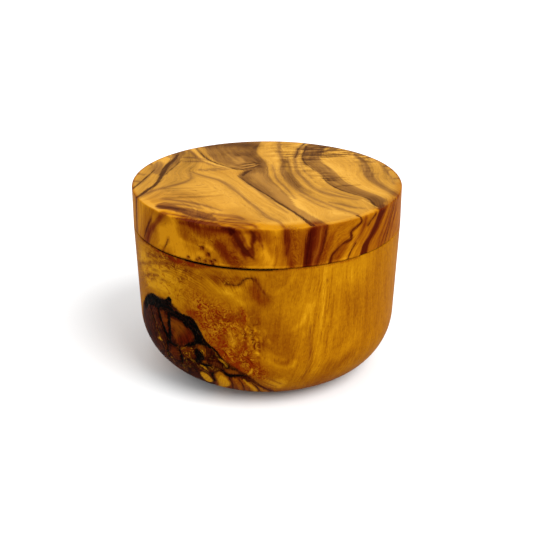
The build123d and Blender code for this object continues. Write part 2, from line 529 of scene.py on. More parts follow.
def wood_material(name, figure, wall_wood):
    """Figured wood that reads the painted fields. figure gives the strength of each kind of streak."""
    s = Shader(name, 0.4)
    mm_place = s.stretch(s.place, 1000, 1000, 1000)
    grain = s.attribute("grain", vector=True)
    wander = s.noise(mm_place, 0.22, 3.0, 0.6, colour=True)
    wander = s.shift(s.stretch(wander, 1.6, 1.6, 1.6), (-0.8, -0.8, -0.8))
    flow = s.shift(grain, wander)
    # Where this field is 0 the face's colours, with their painted sheen, are used, and where it is 1 the
    # walls' darker colours, partly painted shade
    wall = s.attribute("wall")
    tone = s.attribute("tone")

    def tint(key):
        return s.mix(wall, rgb(*FACE_WITH_SHEEN[key]), rgb(*wall_wood[key]))

    def shades(key, level):
        return s.mix(wall, s.ramp(level, FACE_WITH_SHEEN[key]), s.ramp(level, wall_wood[key]))

    # The plain wood: streaks along the grain, and slow clouds, mottle and fine grit across it
    broad = s.noise(s.stretch(flow, 0.34, 0.022, 0.022), 1.0, 4.0, 0.55)
    fine = s.noise(s.stretch(flow, 2.2, 0.09, 0.09), 1.0, 4.0, 0.62)
    hair = s.noise(s.stretch(flow, 5.0, 0.3, 0.3), 1.0, 2.0, 0.5)
    cloud = s.noise(mm_place, 0.075, 3.0, 0.5)
    mottle = s.noise(mm_place, 0.55, 4.0, 0.65)
    grit = s.noise(s.stretch(flow, 1.7, 1.1, 1.1), 1.0, 2.0, 0.6)
    level = s.about(broad, figure["broad"], figure["middle"])
    for layer, weight in ((fine, figure["fine"]), (hair, figure["hair"]), (cloud, figure["cloud"]),
                          (mottle, figure["mottle"]), (grit, figure["grit"])):
        level = s.math("ADD", level, s.about(layer, weight))
    crossing = s.shift(mm_place, s.stretch(wander, 2, 2, 2))
    chatter = s.noise(s.stretch(crossing, 0.10, 0.50, 0.32), 1.0, 3.0, 0.55)
    waves = s.math("MULTIPLY", s.step(chatter, 0.38, 0.62, 0.5, -0.5), s.attribute("ripple"))
    combed = s.math("MULTIPLY", s.about(fine, 0.8), s.attribute("straight"))
    level = s.math("ADD", s.math("ADD", level, waves), combed)
    level = s.math("MULTIPLY_ADD", tone, -0.5, level)
    colour = shades("wood", level)

    # Red speckle
    swirl = s.noise(mm_place, 0.13, 2.0, 0.5, colour=True)
    swirl = s.shift(mm_place, s.stretch(swirl, 12.0, 12.0, 12.0))
    grains = s.step(s.noise(swirl, 1.2, 3.0, 0.7), 0.46, 0.56)
    tinted = s.math("MULTIPLY", s.attribute("red"), s.math("MULTIPLY_ADD", grains, 0.58, 0.38), clamp=True)
    colour = s.mix(tinted, colour, tint("red"))

    # Growth bands, feathered along the grain, and veins and lines with soft borders
    feather = s.about(s.noise(s.stretch(flow, 1.7, 0.09, 0.09), 1.0, 3.0, 0.6), 3.0)
    ragged = s.about(s.noise(s.stretch(flow, 1.1, 0.4, 0.4), 1.0, 3.0, 0.6), 1.3)
    uneven = s.noise(s.stretch(flow, 0.3, 0.16, 0.16), 1.0, 2.0, 0.5)

    def inside(field, low, high, edge):
        return s.step(s.math("ADD", s.attribute(field), edge), low, high)

    band_level = s.math("ADD", s.about(fine, 0.9, 0.56), s.about(broad, 0.7))
    band_level = s.math("ADD", band_level, s.about(grit, figure["grit"]))
    band_level = s.math("MULTIPLY_ADD", tone, -0.45, s.math("MULTIPLY_ADD", waves, 0.6, band_level))
    band = shades("band", band_level)
    pale_band = shades("band", s.math("ADD", band_level, 0.2))
    for field, low, high, edge, most, paint in (
        ("vein", -1.5, 0.4, feather, 0.58, pale_band), ("vein", -0.35, 0.35, ragged, 0.85, pale_band),
        ("brown", -0.7, 0.6, feather, 0.96, band),
        ("line", -1.2, 0.3, feather, 0.60, band), ("line", -0.3, 0.3, ragged, 0.95, tint("line")),
    ):
        drawn = inside(field, low, high, edge)
        cover = s.math("MULTIPLY", drawn, s.step(uneven, 0.3, 0.5, most * 0.8, most))
        colour = s.mix(cover, colour, paint)

    # The knot: dark ground and red facets
    rough_edge = s.about(s.noise(mm_place, 0.9, 3.0, 0.65), 1.8)
    patches = s.noise(swirl, 0.35, 4.0, 0.6)
    streaked = s.math("ADD", s.about(fine, 0.9), patches)
    ground = inside("ember", -0.7, 0.7, rough_edge)
    colour = s.mix(ground, colour, s.ramp(streaked, KNOT["ground"], 0.25, 0.75))
    facet = s.ramp(streaked, KNOT["facet"], 0.25, 0.72)
    glowing = s.math("MULTIPLY", s.attribute("glow"), s.step(streaked, 0.2, 0.65, 0.35, 0.95), clamp=True)
    facet = s.mix(glowing, facet, rgb(*KNOT["glow"]))
    colour = s.mix(inside("facet", -0.35, 0.5, ragged), colour, facet)

    # Burr: dark hollows and bright curls
    burr = s.attribute("burr")
    curls = s.noise(swirl, 0.34, 3.0, 0.55, 0.9)
    ridges = s.math("ABSOLUTE", s.about(curls, 1.0))
    broken = s.step(s.noise(mm_place, 0.42, 2.0, 0.5), 0.44, 0.60)
    bright = s.math("MULTIPLY", s.math("MULTIPLY", s.step(ridges, 0.05, 0.0), broken), burr, clamp=True)
    hollows = s.noise(swirl, 0.5, 4.0, 0.65, 0.5)
    sunk = s.math("MULTIPLY", s.step(hollows, 0.50, 0.38), burr, clamp=True)
    colour = s.mix(s.math("MULTIPLY", sunk, 0.9), colour, rgb(0.56, 0.32, 0.20), "MULTIPLY")
    colour = s.mix(s.math("MULTIPLY", bright, 0.7), colour, tint("curl"))

    # Black bark, the gold caught in it, and painted shade in the seam's gap, in the bark's black
    crust = s.noise(mm_place, 1.2, 4.0, 0.7)
    char = s.mix(s.step(crust, 0.52, 0.72), rgb(*KNOT["char"]), rgb(*KNOT["crust"]))
    charred = inside("char", -0.3, 0.3, rough_edge)
    colour = s.mix(charred, colour, char)
    colour = s.mix(s.math("MULTIPLY", inside("gold", -0.5, 0.6, ragged), 0.9), colour,
                   shades("wood", s.about(fine, 1.2, 0.92)))
    seam_shade = s.math("MULTIPLY", s.attribute("seam_shade"), 1.0, clamp=True)
    colour = s.mix(seam_shade, colour, rgb(*KNOT["char"]))

    # Inside and underneath, where nothing is painted, bands follow the growth rings
    inner = s.attribute("inner")
    rings = s.noise(s.stretch(flow, 0.12, 0.008, 0.008), 1.0, 3.0, 0.6)
    hidden = s.math("MULTIPLY", s.step(rings, 0.54, 0.60), inner)
    colour = s.mix(s.math("MULTIPLY", hidden, 0.7), colour, band)

    # Pores: short dark dashes along the grain
    dashes = s.noise(s.stretch(flow, 3.4, 0.42, 0.42), 1.0, 1.0, 0.4)
    pores = s.math("MULTIPLY", s.step(dashes, 0.62, 0.78), 0.5)
    colour = s.mix(pores, colour, band)
    s.put(colour, s.surface.inputs["Base Color"])

    gloss = s.step(fine, 0.3, 0.7, 0.36, 0.44)
    gloss = s.math("MULTIPLY_ADD", inner, 0.12, gloss)
    gloss = s.math("MULTIPLY_ADD", charred, 0.08, gloss)
    s.put(gloss, s.surface.inputs["Roughness"])
    s.surface.inputs["Specular IOR Level"].default_value = 0.003
    sunk_bark = s.math("MULTIPLY", crust, charred)
    s.bump((fine, 0.25, 0.05), (pores, -0.5, 0.08), (sunk_bark, 0.6, 0.35))
    return s.material


# ---------------------------------------------------------------- the lid

def rim(angle, drop):
    """A place on the lid's wall, which the lid's chart unrolls round the top."""
    reach = RADIUS + drop
    return (reach * sin(radians(angle)), -reach * cos(radians(angle)))


def round_rim(start, end, drop):
    """Places along the lid's wall at one drop, close enough together for a curve to follow."""
    count = max(2, int(abs(end - start) / 8) + 1)
    return [rim(angle, drop) for angle in np.linspace(start, end, count)]


def lid_point(place):
    """The point in space of a place on the lid's chart."""
    reach = hypot(*place)
    if reach <= RADIUS:
        return (*place, TOP_Z)
    scale = RADIUS / reach
    return (place[0] * scale, place[1] * scale, TOP_Z + RADIUS - reach)


# Growth lines of the lid: each is at its distance in millimetres across the grain, and runs from the
# back of the top to its front, and on down the wall
LID_RINGS = (
    (-48, (-43, 24), (-43, 12), (-45, 4), (-47, -3), (-49, -9), rim(-79, 8)),
    (-41, (-36, 32), (-36.5, 24), (-39.5, 9), (-40, 2), (-43, -10), rim(-68, 0), rim(-70, 10)),
    (-33, (-31, 36), (-29, 20), (-28.5, 1), (-37, -8), rim(-63, 0), rim(-66, 13)),
    (-27, (-28, 12), (-24, 5), (-18, 0), (-10, -15), (-3, -31), (1, -39), rim(8, 0), rim(7, 13)),
    (-14, (-24, 40), (-20, 22), (-12, 12), (-10.5, 5), (-4, -9), (4, -24), (12, -39), rim(15, 0),
     rim(14, 14)),
    (0, (-3, 47), (-4, 35), (0, 20), (2, 0), (8, -18), (17, -40), rim(24, 0), rim(20, 14)),
    (6, (5, 45), (5, 30), (7, 18), (8, 2), (13, -14), (24, -29), (31, -36), rim(40, 1), rim(35, 5),
     rim(25, 14)),
    (12, (15, 46), (12, 33), (12, 8), (15, -2), (23, -16), (31, -22), rim(46, 1), rim(38, 8), rim(32, 14)),
    (18, (16, 42), (14, 28), (18, 12), (23, -4), (32, -16), (37, -25), rim(50, 0), rim(40, 14)),
    (25, (24, 42), (21, 25), (27, 6), (33, -8), (42, -20), rim(57, 0), rim(44, 14)),
    (35, (34, 36), (36, 20), (35, 5), (41, -10), (46, -17), rim(64, 2), rim(54, 13)),
    (43, (41, 26), (43, 10), (44, -5), (48, -13), rim(76, 4), rim(68, 13)),
)


def paint_lid(canvas):
    """Paints the figure. A place is an (x, y) on the top, or a rim() on the wall."""
    line, area, brush, lines, strokes = canvas.line, canvas.area, canvas.brush, canvas.lines, canvas.strokes

    # The brown heart at the back left, which pinches and runs on as a tan wedge to the front rim
    area("brown", rim(-146, 16), rim(-147, 6), (-26, 41), (-24, 33), (-21, 25), (-17, 18.5), (-13, 14),
         (-9, 12), (-8.5, 9), (-10.8, 5), (-8, -1), (-4, -9), (0, -16), (4, -24), (8, -31), (12, -39),
         (15, -46), rim(15, 4), rim(14.3, 10), rim(14, 18), rim(18.6, 18), rim(20.8, 12), rim(22.8, 6),
         rim(24, 0), (17, -40), (13, -33), (10, -28), (8, -18), (5, -9), (2, 0), (0.5, 8), (0, 20),
         (-1.5, 25), (-3.5, 31), (-4, 37), (-3, 45), rim(-178, 6), rim(-179, 16))
    line("line", (0.1, 0.45, 0.35, 0.55, 0.5, 0.9), (-10.8, 5), (-8, -1), (-4, -9), (0, -16), (4, -24),
         (8, -31), (12, -39), (15.3, -46))
    line("line", (0.3, 0.9, 0.4), (-6, 12), (-8, 9), (-9, 5))
    line("vein", (0.8, 1.4, 1.0, 1.2), (-8.6, 2), (-5, -6), (0.6, -14.5), (6, -25), (10, -33))
    line("brown", (0.8, 1.6, 1.2), (-4, 17), (-7, 12), (-9, 7))
    strokes("tone", (
        (-1.1, 3, (-4, 6), (-2, -2), (3, -12), (8, -24), (12, -34), (15, -40)),
        (1.0, 4, (-24, 44), (-12, 45), (-5, 43)),
        (0.5, 1.6, (-5.5, 40), (-5.5, 32), (-3.5, 25), (-3, 16)),
        (-0.9, 1.5, (-15, 31), (-13, 26), (-11, 20)),
        (-1.1, 1.2, (-10.5, 28), (-9.5, 22)),
        (-0.4, 2.5, (-22, 35), (-18, 26), (-14, 18)),
    ))
    for x, y in ((-20, 40), (-17, 38), (-14, 38), (-9, 37), (-8, 30)):
        brush("tone", 0.35, 0.6, (x, y), (x + 3, y - 8), (x + 6, y - 15))
    line("line", (0.1, 0.4, 0.3), (-17, 17.6), (-13, 13.6), (-9, 12.2))

    # The big dark band on the right
    area("brown", rim(160, 16), rim(161, 4), (16, 43), (15, 35), (14, 28), (15, 20), (18, 12), (21, 4),
         (23, -4), (27, -11), (32, -16), (35, -19), (37, -25), rim(50.5, 1), rim(48, 4), rim(44.5, 8),
         rim(41, 11), rim(39.5, 17), rim(43, 17), rim(45.5, 11), rim(49.5, 8), rim(54, 4), rim(57.5, 0),
         (41.5, -25), (42, -20), (38, -14), (33, -8), (29, -1), (27, 6), (24, 15), (21, 25), (22, 33),
         (24, 42), rim(150, 4), rim(148, 16))
    line("line", (0.45, 0.2, 0.4, 0.1), (16, 43), (15, 35), (14, 28), (15, 20), (18, 12))
    line("line", (0.05, 0.35, 0.2, 0.7), (21, 4), (23, -4), (27, -11), (32, -16), (36, -20), (38, -28))
    brush("tone", 0.6, 3.2, (20, 45), (19, 38), (18, 31))
    brush("tone", -0.25, 2.2, (19, 22), (22, 13))
    brush("tone", 0.45, 2.4, (38, -19), (40, -27))
    brush("ripple", 0.9, 7, (17, 40), (18, 30))
    brush("ripple", 1.4, 6, (26, 40), (33, 34), (38, 27))
    brush("ripple", 0.6, 6, (7, 40), (9, 25), (24, 2))
    area("line", rim(51.5, 1), rim(49, 4), rim(45.5, 8), rim(41.5, 11), rim(40.5, 16), rim(43, 16),
         rim(44.8, 11), rim(48.5, 8), rim(52.5, 4), rim(56, 1))
    line("gold", 0.3, (34, -21), (36, -25), (38.5, -29))

    # Growth lines between the two
    lines("vein", (
        ((0.8, 0.5, 0.7, 1.5, 1.3, 0.6, 0.5, 0.6), (5, 45), (5, 35), (6, 27), (6.5, 20), (6, 12), (8, 2),
         (10, -6), (13, -14), (18, -22), (24, -29), (31, -36)),
        ((0.5, 0.9, 0.7), (14.5, 43), (12.5, 36), (11, 27)),
        ((0.4, 0.7, 0.6, 0.9, 0.5), (11, 27), (11, 18), (12, 8), (15, -2), (18, -10), (23, -16), (28, -19),
         (32, -21)),
        ((0.1, 0.5, 0.2), (9, 12), (9.5, 4), (12, -6), (16, -14)),
        ((0.1, 0.5, 0.2), (2, 18), (3, 8), (4, 0), (7, -9), (10, -20)),
        ((0.1, 0.3, 0.1), (13, 22), (14, 12), (17, 2)),
        ((0.1, 0.35, 0.2, 0.1), (8, 28), (8.4, 20), (9, 12), (10.4, 2), (13, -8)),
        ((0.1, 0.3, 0.1), (12, -16), (17, -25), (22, -31)),
        ((0.1, 0.25, 0.1), (-6, -6), (-2, -15), (3, -26), (7, -34)),
        ((0.1, 0.4, 0.1), (20, -9), (26, -15), (33, -20)),
        ((0.2, 0.6, 0.1), (22, -24), (26, -26), (30, -29), (34, -30)),
        (0.35, rim(43, 1), rim(41, 5), rim(37, 9)),
    ))
    brush("tone", 0.55, 1.6, (5.5, 24), (6.8, 20), (6, 16.5))
    brush("tone", 0.5, 1.5, (7.4, 27), (7.6, 17), (9, 4), (12, -7))
    brush("tone", -0.3, 1.2, (3, 34), (4, 22), (4.6, 8))
    lines("line", (
        ((0.5, 0.4, 0.6, 0.35, 0.5, 0.9), (31, -37), rim(40, 0.5), rim(40, 2), rim(37, 3.5), rim(35, 4.5),
         rim(35, 7), rim(31, 8), rim(28, 10), rim(26, 12), rim(25, 17)),
        ((0.5, 0.3, 0.45, 0.3), (16, 47.5), (13, 40), (12, 33), (11, 27)),
        (0.3, rim(49, 1), rim(46, 2.5), rim(44, 4)),
        ((0.2, 0.4, 0.3), rim(37.5, 9), rim(35.5, 11), rim(33, 16)),
    ))

    # The right-hand side: tan smudges and stripes down the wall
    line("vein", (0.5, 1.3, 1.8, 1.3, 1.0), (35, 31), (37.5, 23), (38, 12), (39, 2), (42, -7), (45, -13),
         (47, -17))
    line("vein", (0.1, 0.4, 0.2), (44, 20), (46, 8), (47, -4))
    brush("tone", 0.2, 3.4, (38, 21), (38.5, 9), (40, -3), (44, -11))
    for x, y in ((36, 17), (38.5, 14), (37, 10), (40, 7), (38, 4)):
        brush("tone", 0.5, 0.8, (x, y), (x + 1.5, y + 0.6))
    line("vein", (0.3, 0.4), rim(62, 0), rim(56.5, 6), rim(52, 12), rim(50, 17))
    line("vein", (0.3, 0.4), rim(64.5, 0), rim(59, 7), rim(54, 13), rim(53, 17))
    line("vein", 0.35, rim(69, 0), rim(64, 8), rim(58, 17))
    line("line", (0.15, 0.3), rim(66.5, 0), rim(61, 7), rim(56, 15))
    brush("tone", 0.15, 3, rim(64, 2), rim(60, 9), rim(57, 14))

    # The left-hand side: a dark line that sweeps to the front left rim
    line("line", (0.6, 1.0, 0.7, 0.6, 0.6), (-35.5, 31), (-36.5, 24), (-38.5, 17), (-39.5, 9), (-40, 2),
         (-41, -5), (-43, -10), (-46, -17.5), rim(-69, 1), rim(-70, 8), rim(-71, 17))
    line("line", (0.1, 0.3, 0.1), (-33.5, 24), (-36, 15), (-38.5, 6))
    line("line", (0.1, 0.4, 0.25), (-43, 12), (-45, 4), (-47, -3), (-49, -9))
    area("brown", (-37.5, 35), (-33.5, 36), (-33.5, 27), (-36, 18), (-38.3, 8), (-39.8, 4), (-40.5, 9),
         (-39, 18), (-37.5, 25))
    area("vein", (-43, 22), (-40.5, 20), (-40.5, 11), (-42, 7), (-44, 13))
    lines("vein", (
        ((0.2, 0.7, 0.8), (-29, 8), (-28.5, 1), (-32, -4), (-37, -8), (-41, -11.5), (-45.5, -17)),
        ((0.2, 0.8, 0.5, 0.6, 0.3), (-29, 10), (-24, 5), (-18, 0), (-14, -6), (-10, -15), (-7, -22),
         (-3, -31), (0.5, -39), (4, -43), (6, -49), rim(7, 5)),
        ((0.3, 1.0, 0.3), (-33, 27.5), (-28, 27), (-24, 24)),
        ((0.2, 0.7, 0.2), (-32, 22), (-27, 22.4), (-23.5, 21)),
    ))

    # Light streak between two thin lines, and the swirled eye at the end of it
    line("vein", (0.6, 0.4), (-31.5, 37), (-28.5, 30), (-25.5, 23), (-21, 18), (-16, 14))
    lines("line", (
        ((0.25, 0.4, 0.2), (-28.5, 39.5), (-25.8, 31), (-22.8, 24.5), (-18.5, 19), (-13.5, 14.5)),
        ((0.2, 0.5, 0.3), (-10.5, 18.4), (-7.5, 19.6), (-4.5, 20.6), (-2.6, 20)),
        ((0.2, 0.45, 0.2), (-9.5, 15.4), (-6.5, 17.2), (-4, 18.8)),
        ((0.2, 0.4, 0.2), (-8.4, 13.4), (-5.5, 15), (-3, 17.6)),
    ))
    strokes("tone", (
        (-0.9, 0.9, (-30, 38), (-27, 30), (-24, 23.5), (-19.5, 18), (-14.5, 14.3)),
        (-1.5, 0.55, (-10, 16.8), (-7.4, 18.4), (-5, 19.4)),
        (-1.5, 0.5, (-8.8, 14.6), (-6, 16.2), (-3.6, 18.6)),
        (-0.9, 0.8, (-14, 17), (-11.5, 15.6), (-9.5, 14)),
    ))
    for x, y, size in ((-25, 12, 0.45), (-23.3, 11.2, 0.3), (-22, 12.7, 0.35), (-20.4, 11.7, 0.45),
                       (-18.7, 13.2, 0.4), (-17.2, 12.2, 0.3), (-15.6, 12.8, 0.3), (-20, 13.8, 0.25)):
        line("vein", size * 1.5, (x - 0.5, y), (x + 0.5, y + 0.1))
    brush("red", 0.35, 3.2, (-17, 10), (-12, 8))

    # The smoky streak at the front left, dark on a golden ground, with wisps round it, and the dark rim
    brush("wall", 0.5, 5, (-42, -24), (-32, -30), (-22, -36), (-12, -42), (-4, -46))
    brush("wall", 0.7, 3.5, (-36, -34), (-30, -38.6), (-22, -44), (-10, -48))
    brush("wall", 0.25, 7, (-38, -16), (-25, -21), (-15, -28), (-10, -38))
    strokes("tone", (
        (-0.6, 1.8, (-38, -25.5), (-35, -26.4)),
        (-0.9, 2.2, (-35, -33), (-31, -36.4)),
        (-0.5, 2.5, (-24, -29), (-18, -33), (-14, -37)),
        (0.9, 1.2, (-38, -27.6), (-34, -29), (-29, -31.4)),
        (0.6, 1.2, (-24, -37), (-19, -40.6)),
        (-0.5, 0.7, (-33, -27), (-27, -31), (-21, -36)),
        (-0.4, 0.6, (-30, -31.6), (-25, -35.4), (-20, -39)),
        (-0.8, 1.2, (-13, -45.6), (-9, -47), (-5, -48)),
    ))
    area("brown", (-38, -25), (-34, -25), (-31, -28), (-27.5, -29.5), (-24, -32), (-20, -35), (-18, -38),
         (-16.5, -42), (-20, -41.6), (-24, -39), (-28, -36), (-31, -33), (-35, -31), (-38.5, -29))
    area("brown", rim(-40, 0.2), (-30, -38.8), (-26.5, -39.8), (-22, -41.6), (-18.5, -43), (-16, -45),
         (-14.5, -47), rim(-15, 0.6), rim(-22, 0.6), rim(-32, 0.5))
    lines("vein", (
        ((0.3, 0.9, 0.7, 0.3), (-37, -20.6), (-31, -22.4), (-26, -24.6), (-21, -28), (-16, -32)),
        ((0.2, 0.7, 0.3), (-36, -24.5), (-29, -26.4), (-23, -30)),
        ((0.4, 1.1, 1.3, 0.5), (-19, -35), (-14.5, -37), (-10.4, -38), (-8, -40.6)),
        ((0.2, 0.6, 0.4), (-17, -42), (-12, -43.6), (-8, -44), (-4.5, -46), (-3.4, -49)),
        ((0.2, 0.6, 0.3), (-14.6, -44.6), (-10.5, -46), (-7.5, -48.6)),
        ((0.2, 0.5, 0.2), (-16, -40), (-11, -41.2), (-7, -42.4)),
        ((0.1, 0.5, 0.3), (-34, -35), (-29, -37.4), (-24, -39.6)),
    ))
    for x, y in ((-37, -9.5), (-36, -12), (-34, -14), (-36, -16), (-31, -18), (-36, -19.5)):
        brush("tone", 0.5, 0.9, (x, y), (x + 8, y + 0.4), (x + 15, y + 1.6))

    # Slow changes of tone over the top
    strokes("tone", (
        (-0.35, 4, (-1, 45), (0, 33), (3, 20), (3, 8)),
        (-0.45, 4, (23, 24), (28, 10), (32, -4), (38, -12), (43, -18)),
        (-0.3, 6, (-20, -2), (-12, -10), (-6, -24), (2, -34)),
        (-0.35, 5, (-26, -8), (-20, -16), (-14, -26)),
        (-0.35, 5, (12, -20), (20, -33), (27, -38)),
        (0.25, 3, (9, 8), (11, -6), (17, -16), (27, -26)),
        (0.3, 4, (45, 15), (46, 2)),
        (0.35, 4, (27, 40), (32, 34), (38, 28)),
        (0.7, 5, (-30, 32), (-30, 24), (-31, 15)),
        (0.4, 4, (-34, 8), (-35, -2)),
        (0.3, 5, (-45, 12), (-46, 0)),
        (0.35, 3, (-7, 2), (-3, -4), (2, -14)),
        (0.45, 3, (-21, 30), (-14, 31), (-9, 31)),
        (-0.4, 3, (-42, 22), (-38, 28)),
    ))
    for y in (45, 42.5, 39.5, 36.5, 33.5, 31, 28.5):
        brush("tone", 0.65, 0.8, (22, y - 1), (29, y + 0.5), (36, y - 2.5), (40, y - 6))
    for x, y in ((18, 38), (18.5, 34), (18, 30), (18.5, 24.5), (25, 2.5), (26, 0.5), (30, -6)):
        brush("tone", 0.9, 0.7, (x - 4, y - 0.6), (x + 4, y + 0.6))
    for x, y in ((1, 43), (0, 39), (2, 34), (3, 29), (4, 12), (9, 31), (9.5, 22), (9, 16)):
        brush("tone", 0.35, 0.6, (x - 3, y), (x + 3, y + 0.7))

    # Near the front edge the top is painted without its sheen, as warm as the wall, with painted
    # highlights along and inside the edge, a darker patch at the right, and a darker strip below the edge
    brush("wall", 0.8, 1.8, *round_rim(-46, 50, -0.6))
    brush("wall", 0.8, 3.0, *round_rim(-4, 20, -2.8))
    brush("wall", 0.6, 1.6, *round_rim(52, 86, -0.8))
    strokes("tone", (
        (-1.7, 3.0, *round_rim(-2, 15, -3.4)),
        (0.4, 2.0, *round_rim(62, 74, -2.5)),
        (-1.1, 1.1, *round_rim(-62, -40, -1.2)),
        (-1.1, 1.1, *round_rim(-2, 50, -1.2)),
        (0.7, 0.8, *round_rim(-36, -5, 1.3)),
    ))

    # The wall at the left: a dark slanting band, a yellow field, a red-brown cloud, pits and a crack
    area("vein", rim(-47, -1), rim(-48, 1), rim(-51.5, 4), rim(-57, 9), rim(-62, 17), rim(-58, 17),
         rim(-53, 9), rim(-48, 4), rim(-44.5, 1), rim(-44, -1))
    line("brown", (0.3, 0.6, 0.3), rim(-46, 0.5), rim(-50, 4.5), rim(-55, 9), rim(-59, 15))
    strokes("tone", (
        (-0.7, 4, rim(-62, 0), rim(-66, 10)),
        (-0.35, 4, rim(-74, 3), rim(-76, 12)),
        (-0.7, 4.5, rim(-45, 9), rim(-36, 11), rim(-26, 12.5)),
        (-0.5, 3, rim(-52, 13), rim(-42, 5), rim(-38, 2)),
        (-0.3, 2, rim(-52, 4), rim(-48, 6)),
        (0.35, 2.5, rim(-50, 9), rim(-53, 13)),
        (0.6, 2.0, rim(-31, 1.2), rim(-26, 3.0), rim(-19, 2)),
        (0.35, 2.8, rim(-28, 5.5), rim(-20, 6), rim(-16, 10)),
        (0.45, 2.2, rim(-37, 2), rim(-34, 6), rim(-30, 9)),
        (0.8, 1.8, rim(-19, 7), rim(-15, 11), rim(-12, 14)),
        (-0.4, 2.0, rim(-29, 5), rim(-23, 6)),
        (-0.5, 0.7, rim(-36, 7.6), rim(-30, 8.4), rim(-24, 7.8), rim(-19, 10)),
    ))
    line("line", (0.3, 0.5, 0.3), rim(-54, 4), rim(-58, 9), rim(-61, 13))
    brush("red", 0.5, 1.6, rim(-33, 0.5), rim(-25, 1.5), rim(-17, 1))
    brush("red", 0.5, 2.6, rim(-30, 4.5), rim(-20, 4.5), rim(-15, 9))
    brush("red", 0.5, 2.2, rim(-19, 7), rim(-15, 11), rim(-12, 14))
    for angle, drop in ((-34, 3), (-29, 7), (-23, 5), (-18, 6.4), (-13, 11), (-20, 9)):
        brush("red", 0.5, 0.9, rim(angle, drop), rim(angle + 1.6, drop + 1.4))
    brush("tone", -0.35, 1.0, rim(-30, 4.6), rim(-24, 5.6), rim(-19, 4.2))
    line("brown", (0.8, 0.9, 1.1, 0.9, 0.3), rim(-14.5, 0), rim(-11.6, 3.4), rim(-9.4, 6.6), rim(-7, 9),
         rim(-5, 10.6))
    line("brown", (0.3, 0.8, 0.7, 0.2), rim(-6.2, 0.6), rim(-5.2, 3), rim(-5.6, 6.4), rim(-5, 10))
    line("line", (0.1, 0.3, 0.5, 0.6, 0.2), rim(-14, 1), rim(-11.2, 4.4), rim(-9, 7.4), rim(-6.8, 9.3),
         rim(-5, 10.6))
    line("line", (0.1, 0.45, 0.1), rim(-5.8, 1), rim(-4.9, 2.8), rim(-5.2, 4.6))
    for angle, drop in ((-12.4, 0.6), (-10.4, 1.4), (-13.6, 4.4), (-10.2, 7.8), (-8, 5.4), (-3.8, 3)):
        line("vein", (0.1, 0.5, 0.1), rim(angle, drop), rim(angle + 1.4, drop + 1.8),
             rim(angle + 2.4, drop + 3.8))
    strokes("tone", (
        (0.7, 1.6, rim(-15, 0.5), rim(-11.6, 5), rim(-8, 9)),
        (-0.6, 0.8, rim(-9.4, 0.6), rim(-8, 3), rim(-7, 6)),
        (-0.5, 0.8, rim(-3.2, 4.6), rim(-1.2, 5.4), rim(-0.6, 7.4), rim(0.2, 10)),
        (0.35, 1.0, rim(-3, 0.5), rim(-2.6, 4)),
        (0.4, 0.8, rim(1.6, 7), rim(1.8, 10.5), rim(0.4, 12.4)),
        (-0.35, 2.2, rim(-6, 13.5), rim(4, 13)),
        (-0.4, 1.2, rim(3.4, 1), rim(3.6, 5)),
        (0.8, 1.6, rim(7.6, 0), rim(8, 8), rim(9.4, 14)),
        (0.3, 2.4, rim(12, 1), rim(12, 13)),
        (0.4, 0.7, rim(3.4, 3), rim(4, 9), rim(3, 13)),
        (0.3, 2.4, rim(-3, 2), rim(1, 3)),
        (-0.8, 2.4, rim(-1, 9), rim(1.4, 11)),
    ))
    brush("red", 0.6, 2.0, rim(-13, 9), rim(-10, 12.5), rim(-9, 15))
    brush("red", 0.8, 3.0, rim(9.5, 0), rim(11, 8), rim(10, 14))
    line("vein", (0.3, 0.5, 0.3), rim(7.6, -1), rim(8.4, 5), rim(7.4, 9))
    line("line", 0.25, rim(-43, 9), rim(-44.5, 11.5), rim(-47, 15))
    for angle, drop, size in LID_PITS:
        line("brown", size * 0.7, rim(angle - 0.4, drop), rim(angle + 0.4, drop + 0.2))
        brush("red", 0.9, size * 2, rim(angle, drop))
        brush("tone", 0.8, size, rim(angle, drop))
    brush("red", 0.5, 1.2, rim(-28, 13), rim(-22, 13.5))

    # The wall at the right: redder, with a dark zone under the wavy line, then yellow and pink-brown
    brush("red", 0.75, 3.0, rim(21.5, 0), rim(20.5, 9), rim(18.5, 14))
    brush("red", 0.4, 3.4, rim(35, 0), rim(30, 4), rim(25, 9), rim(22.6, 13))
    brush("red", 0.4, 2.0, rim(32, 9.5), rim(29, 12))
    line("line", (0.3, 0.4, 0.2), rim(23.8, 0), rim(22.6, 6), rim(20.6, 12), rim(18.8, 16))
    strokes("tone", (
        (-0.6, 0.8, rim(21.4, 1), rim(20.4, 8), rim(18, 13)),
        (0.2, 3.0, rim(21.5, 2), rim(20, 9), rim(19, 14)),
        (1.0, 1.9, rim(17.2, 1), rim(16.4, 8), rim(15.6, 14)),
        (-0.3, 0.8, rim(20.8, 2), rim(19.8, 8), rim(18.2, 14)),
        (0.5, 2.2, rim(32, 9.5), rim(29, 12), rim(27, 15)),
        (0.4, 2.0, rim(25.4, 5), rim(23.6, 10), rim(22.6, 14)),
        (-0.35, 2.2, rim(38, 6), rim(32, 13)),
        (0.45, 1.5, rim(42.5, 3), rim(40, 8)),
        (0.35, 3, rim(58, 3), rim(51, 10), rim(47, 14)),
        (0.25, 6, rim(70, 4), rim(66, 10)),
    ))

    # Painted shade in the seam's gap, red-brown and black along the lid's lower edge, and a painted
    # highlight along the arris above it
    brush("red", 1.0, 0.5, *round_rim(-66, -30, LID_WALL - 0.1))
    brush("red", 0.5, 0.4, *round_rim(-30, 40, LID_WALL - 0.1))
    brush("seam_shade", 0.7, 0.2, *round_rim(-60, -30, LID_WALL - 0.05))
    brush("seam_shade", 1.0, 0.22, *round_rim(-30, 4, LID_WALL - 0.05))
    brush("seam_shade", 0.45, 0.18, *round_rim(4, 62, LID_WALL))
    brush("tone", -0.5, 0.35, *round_rim(-40, 35, LID_WALL - 0.8))

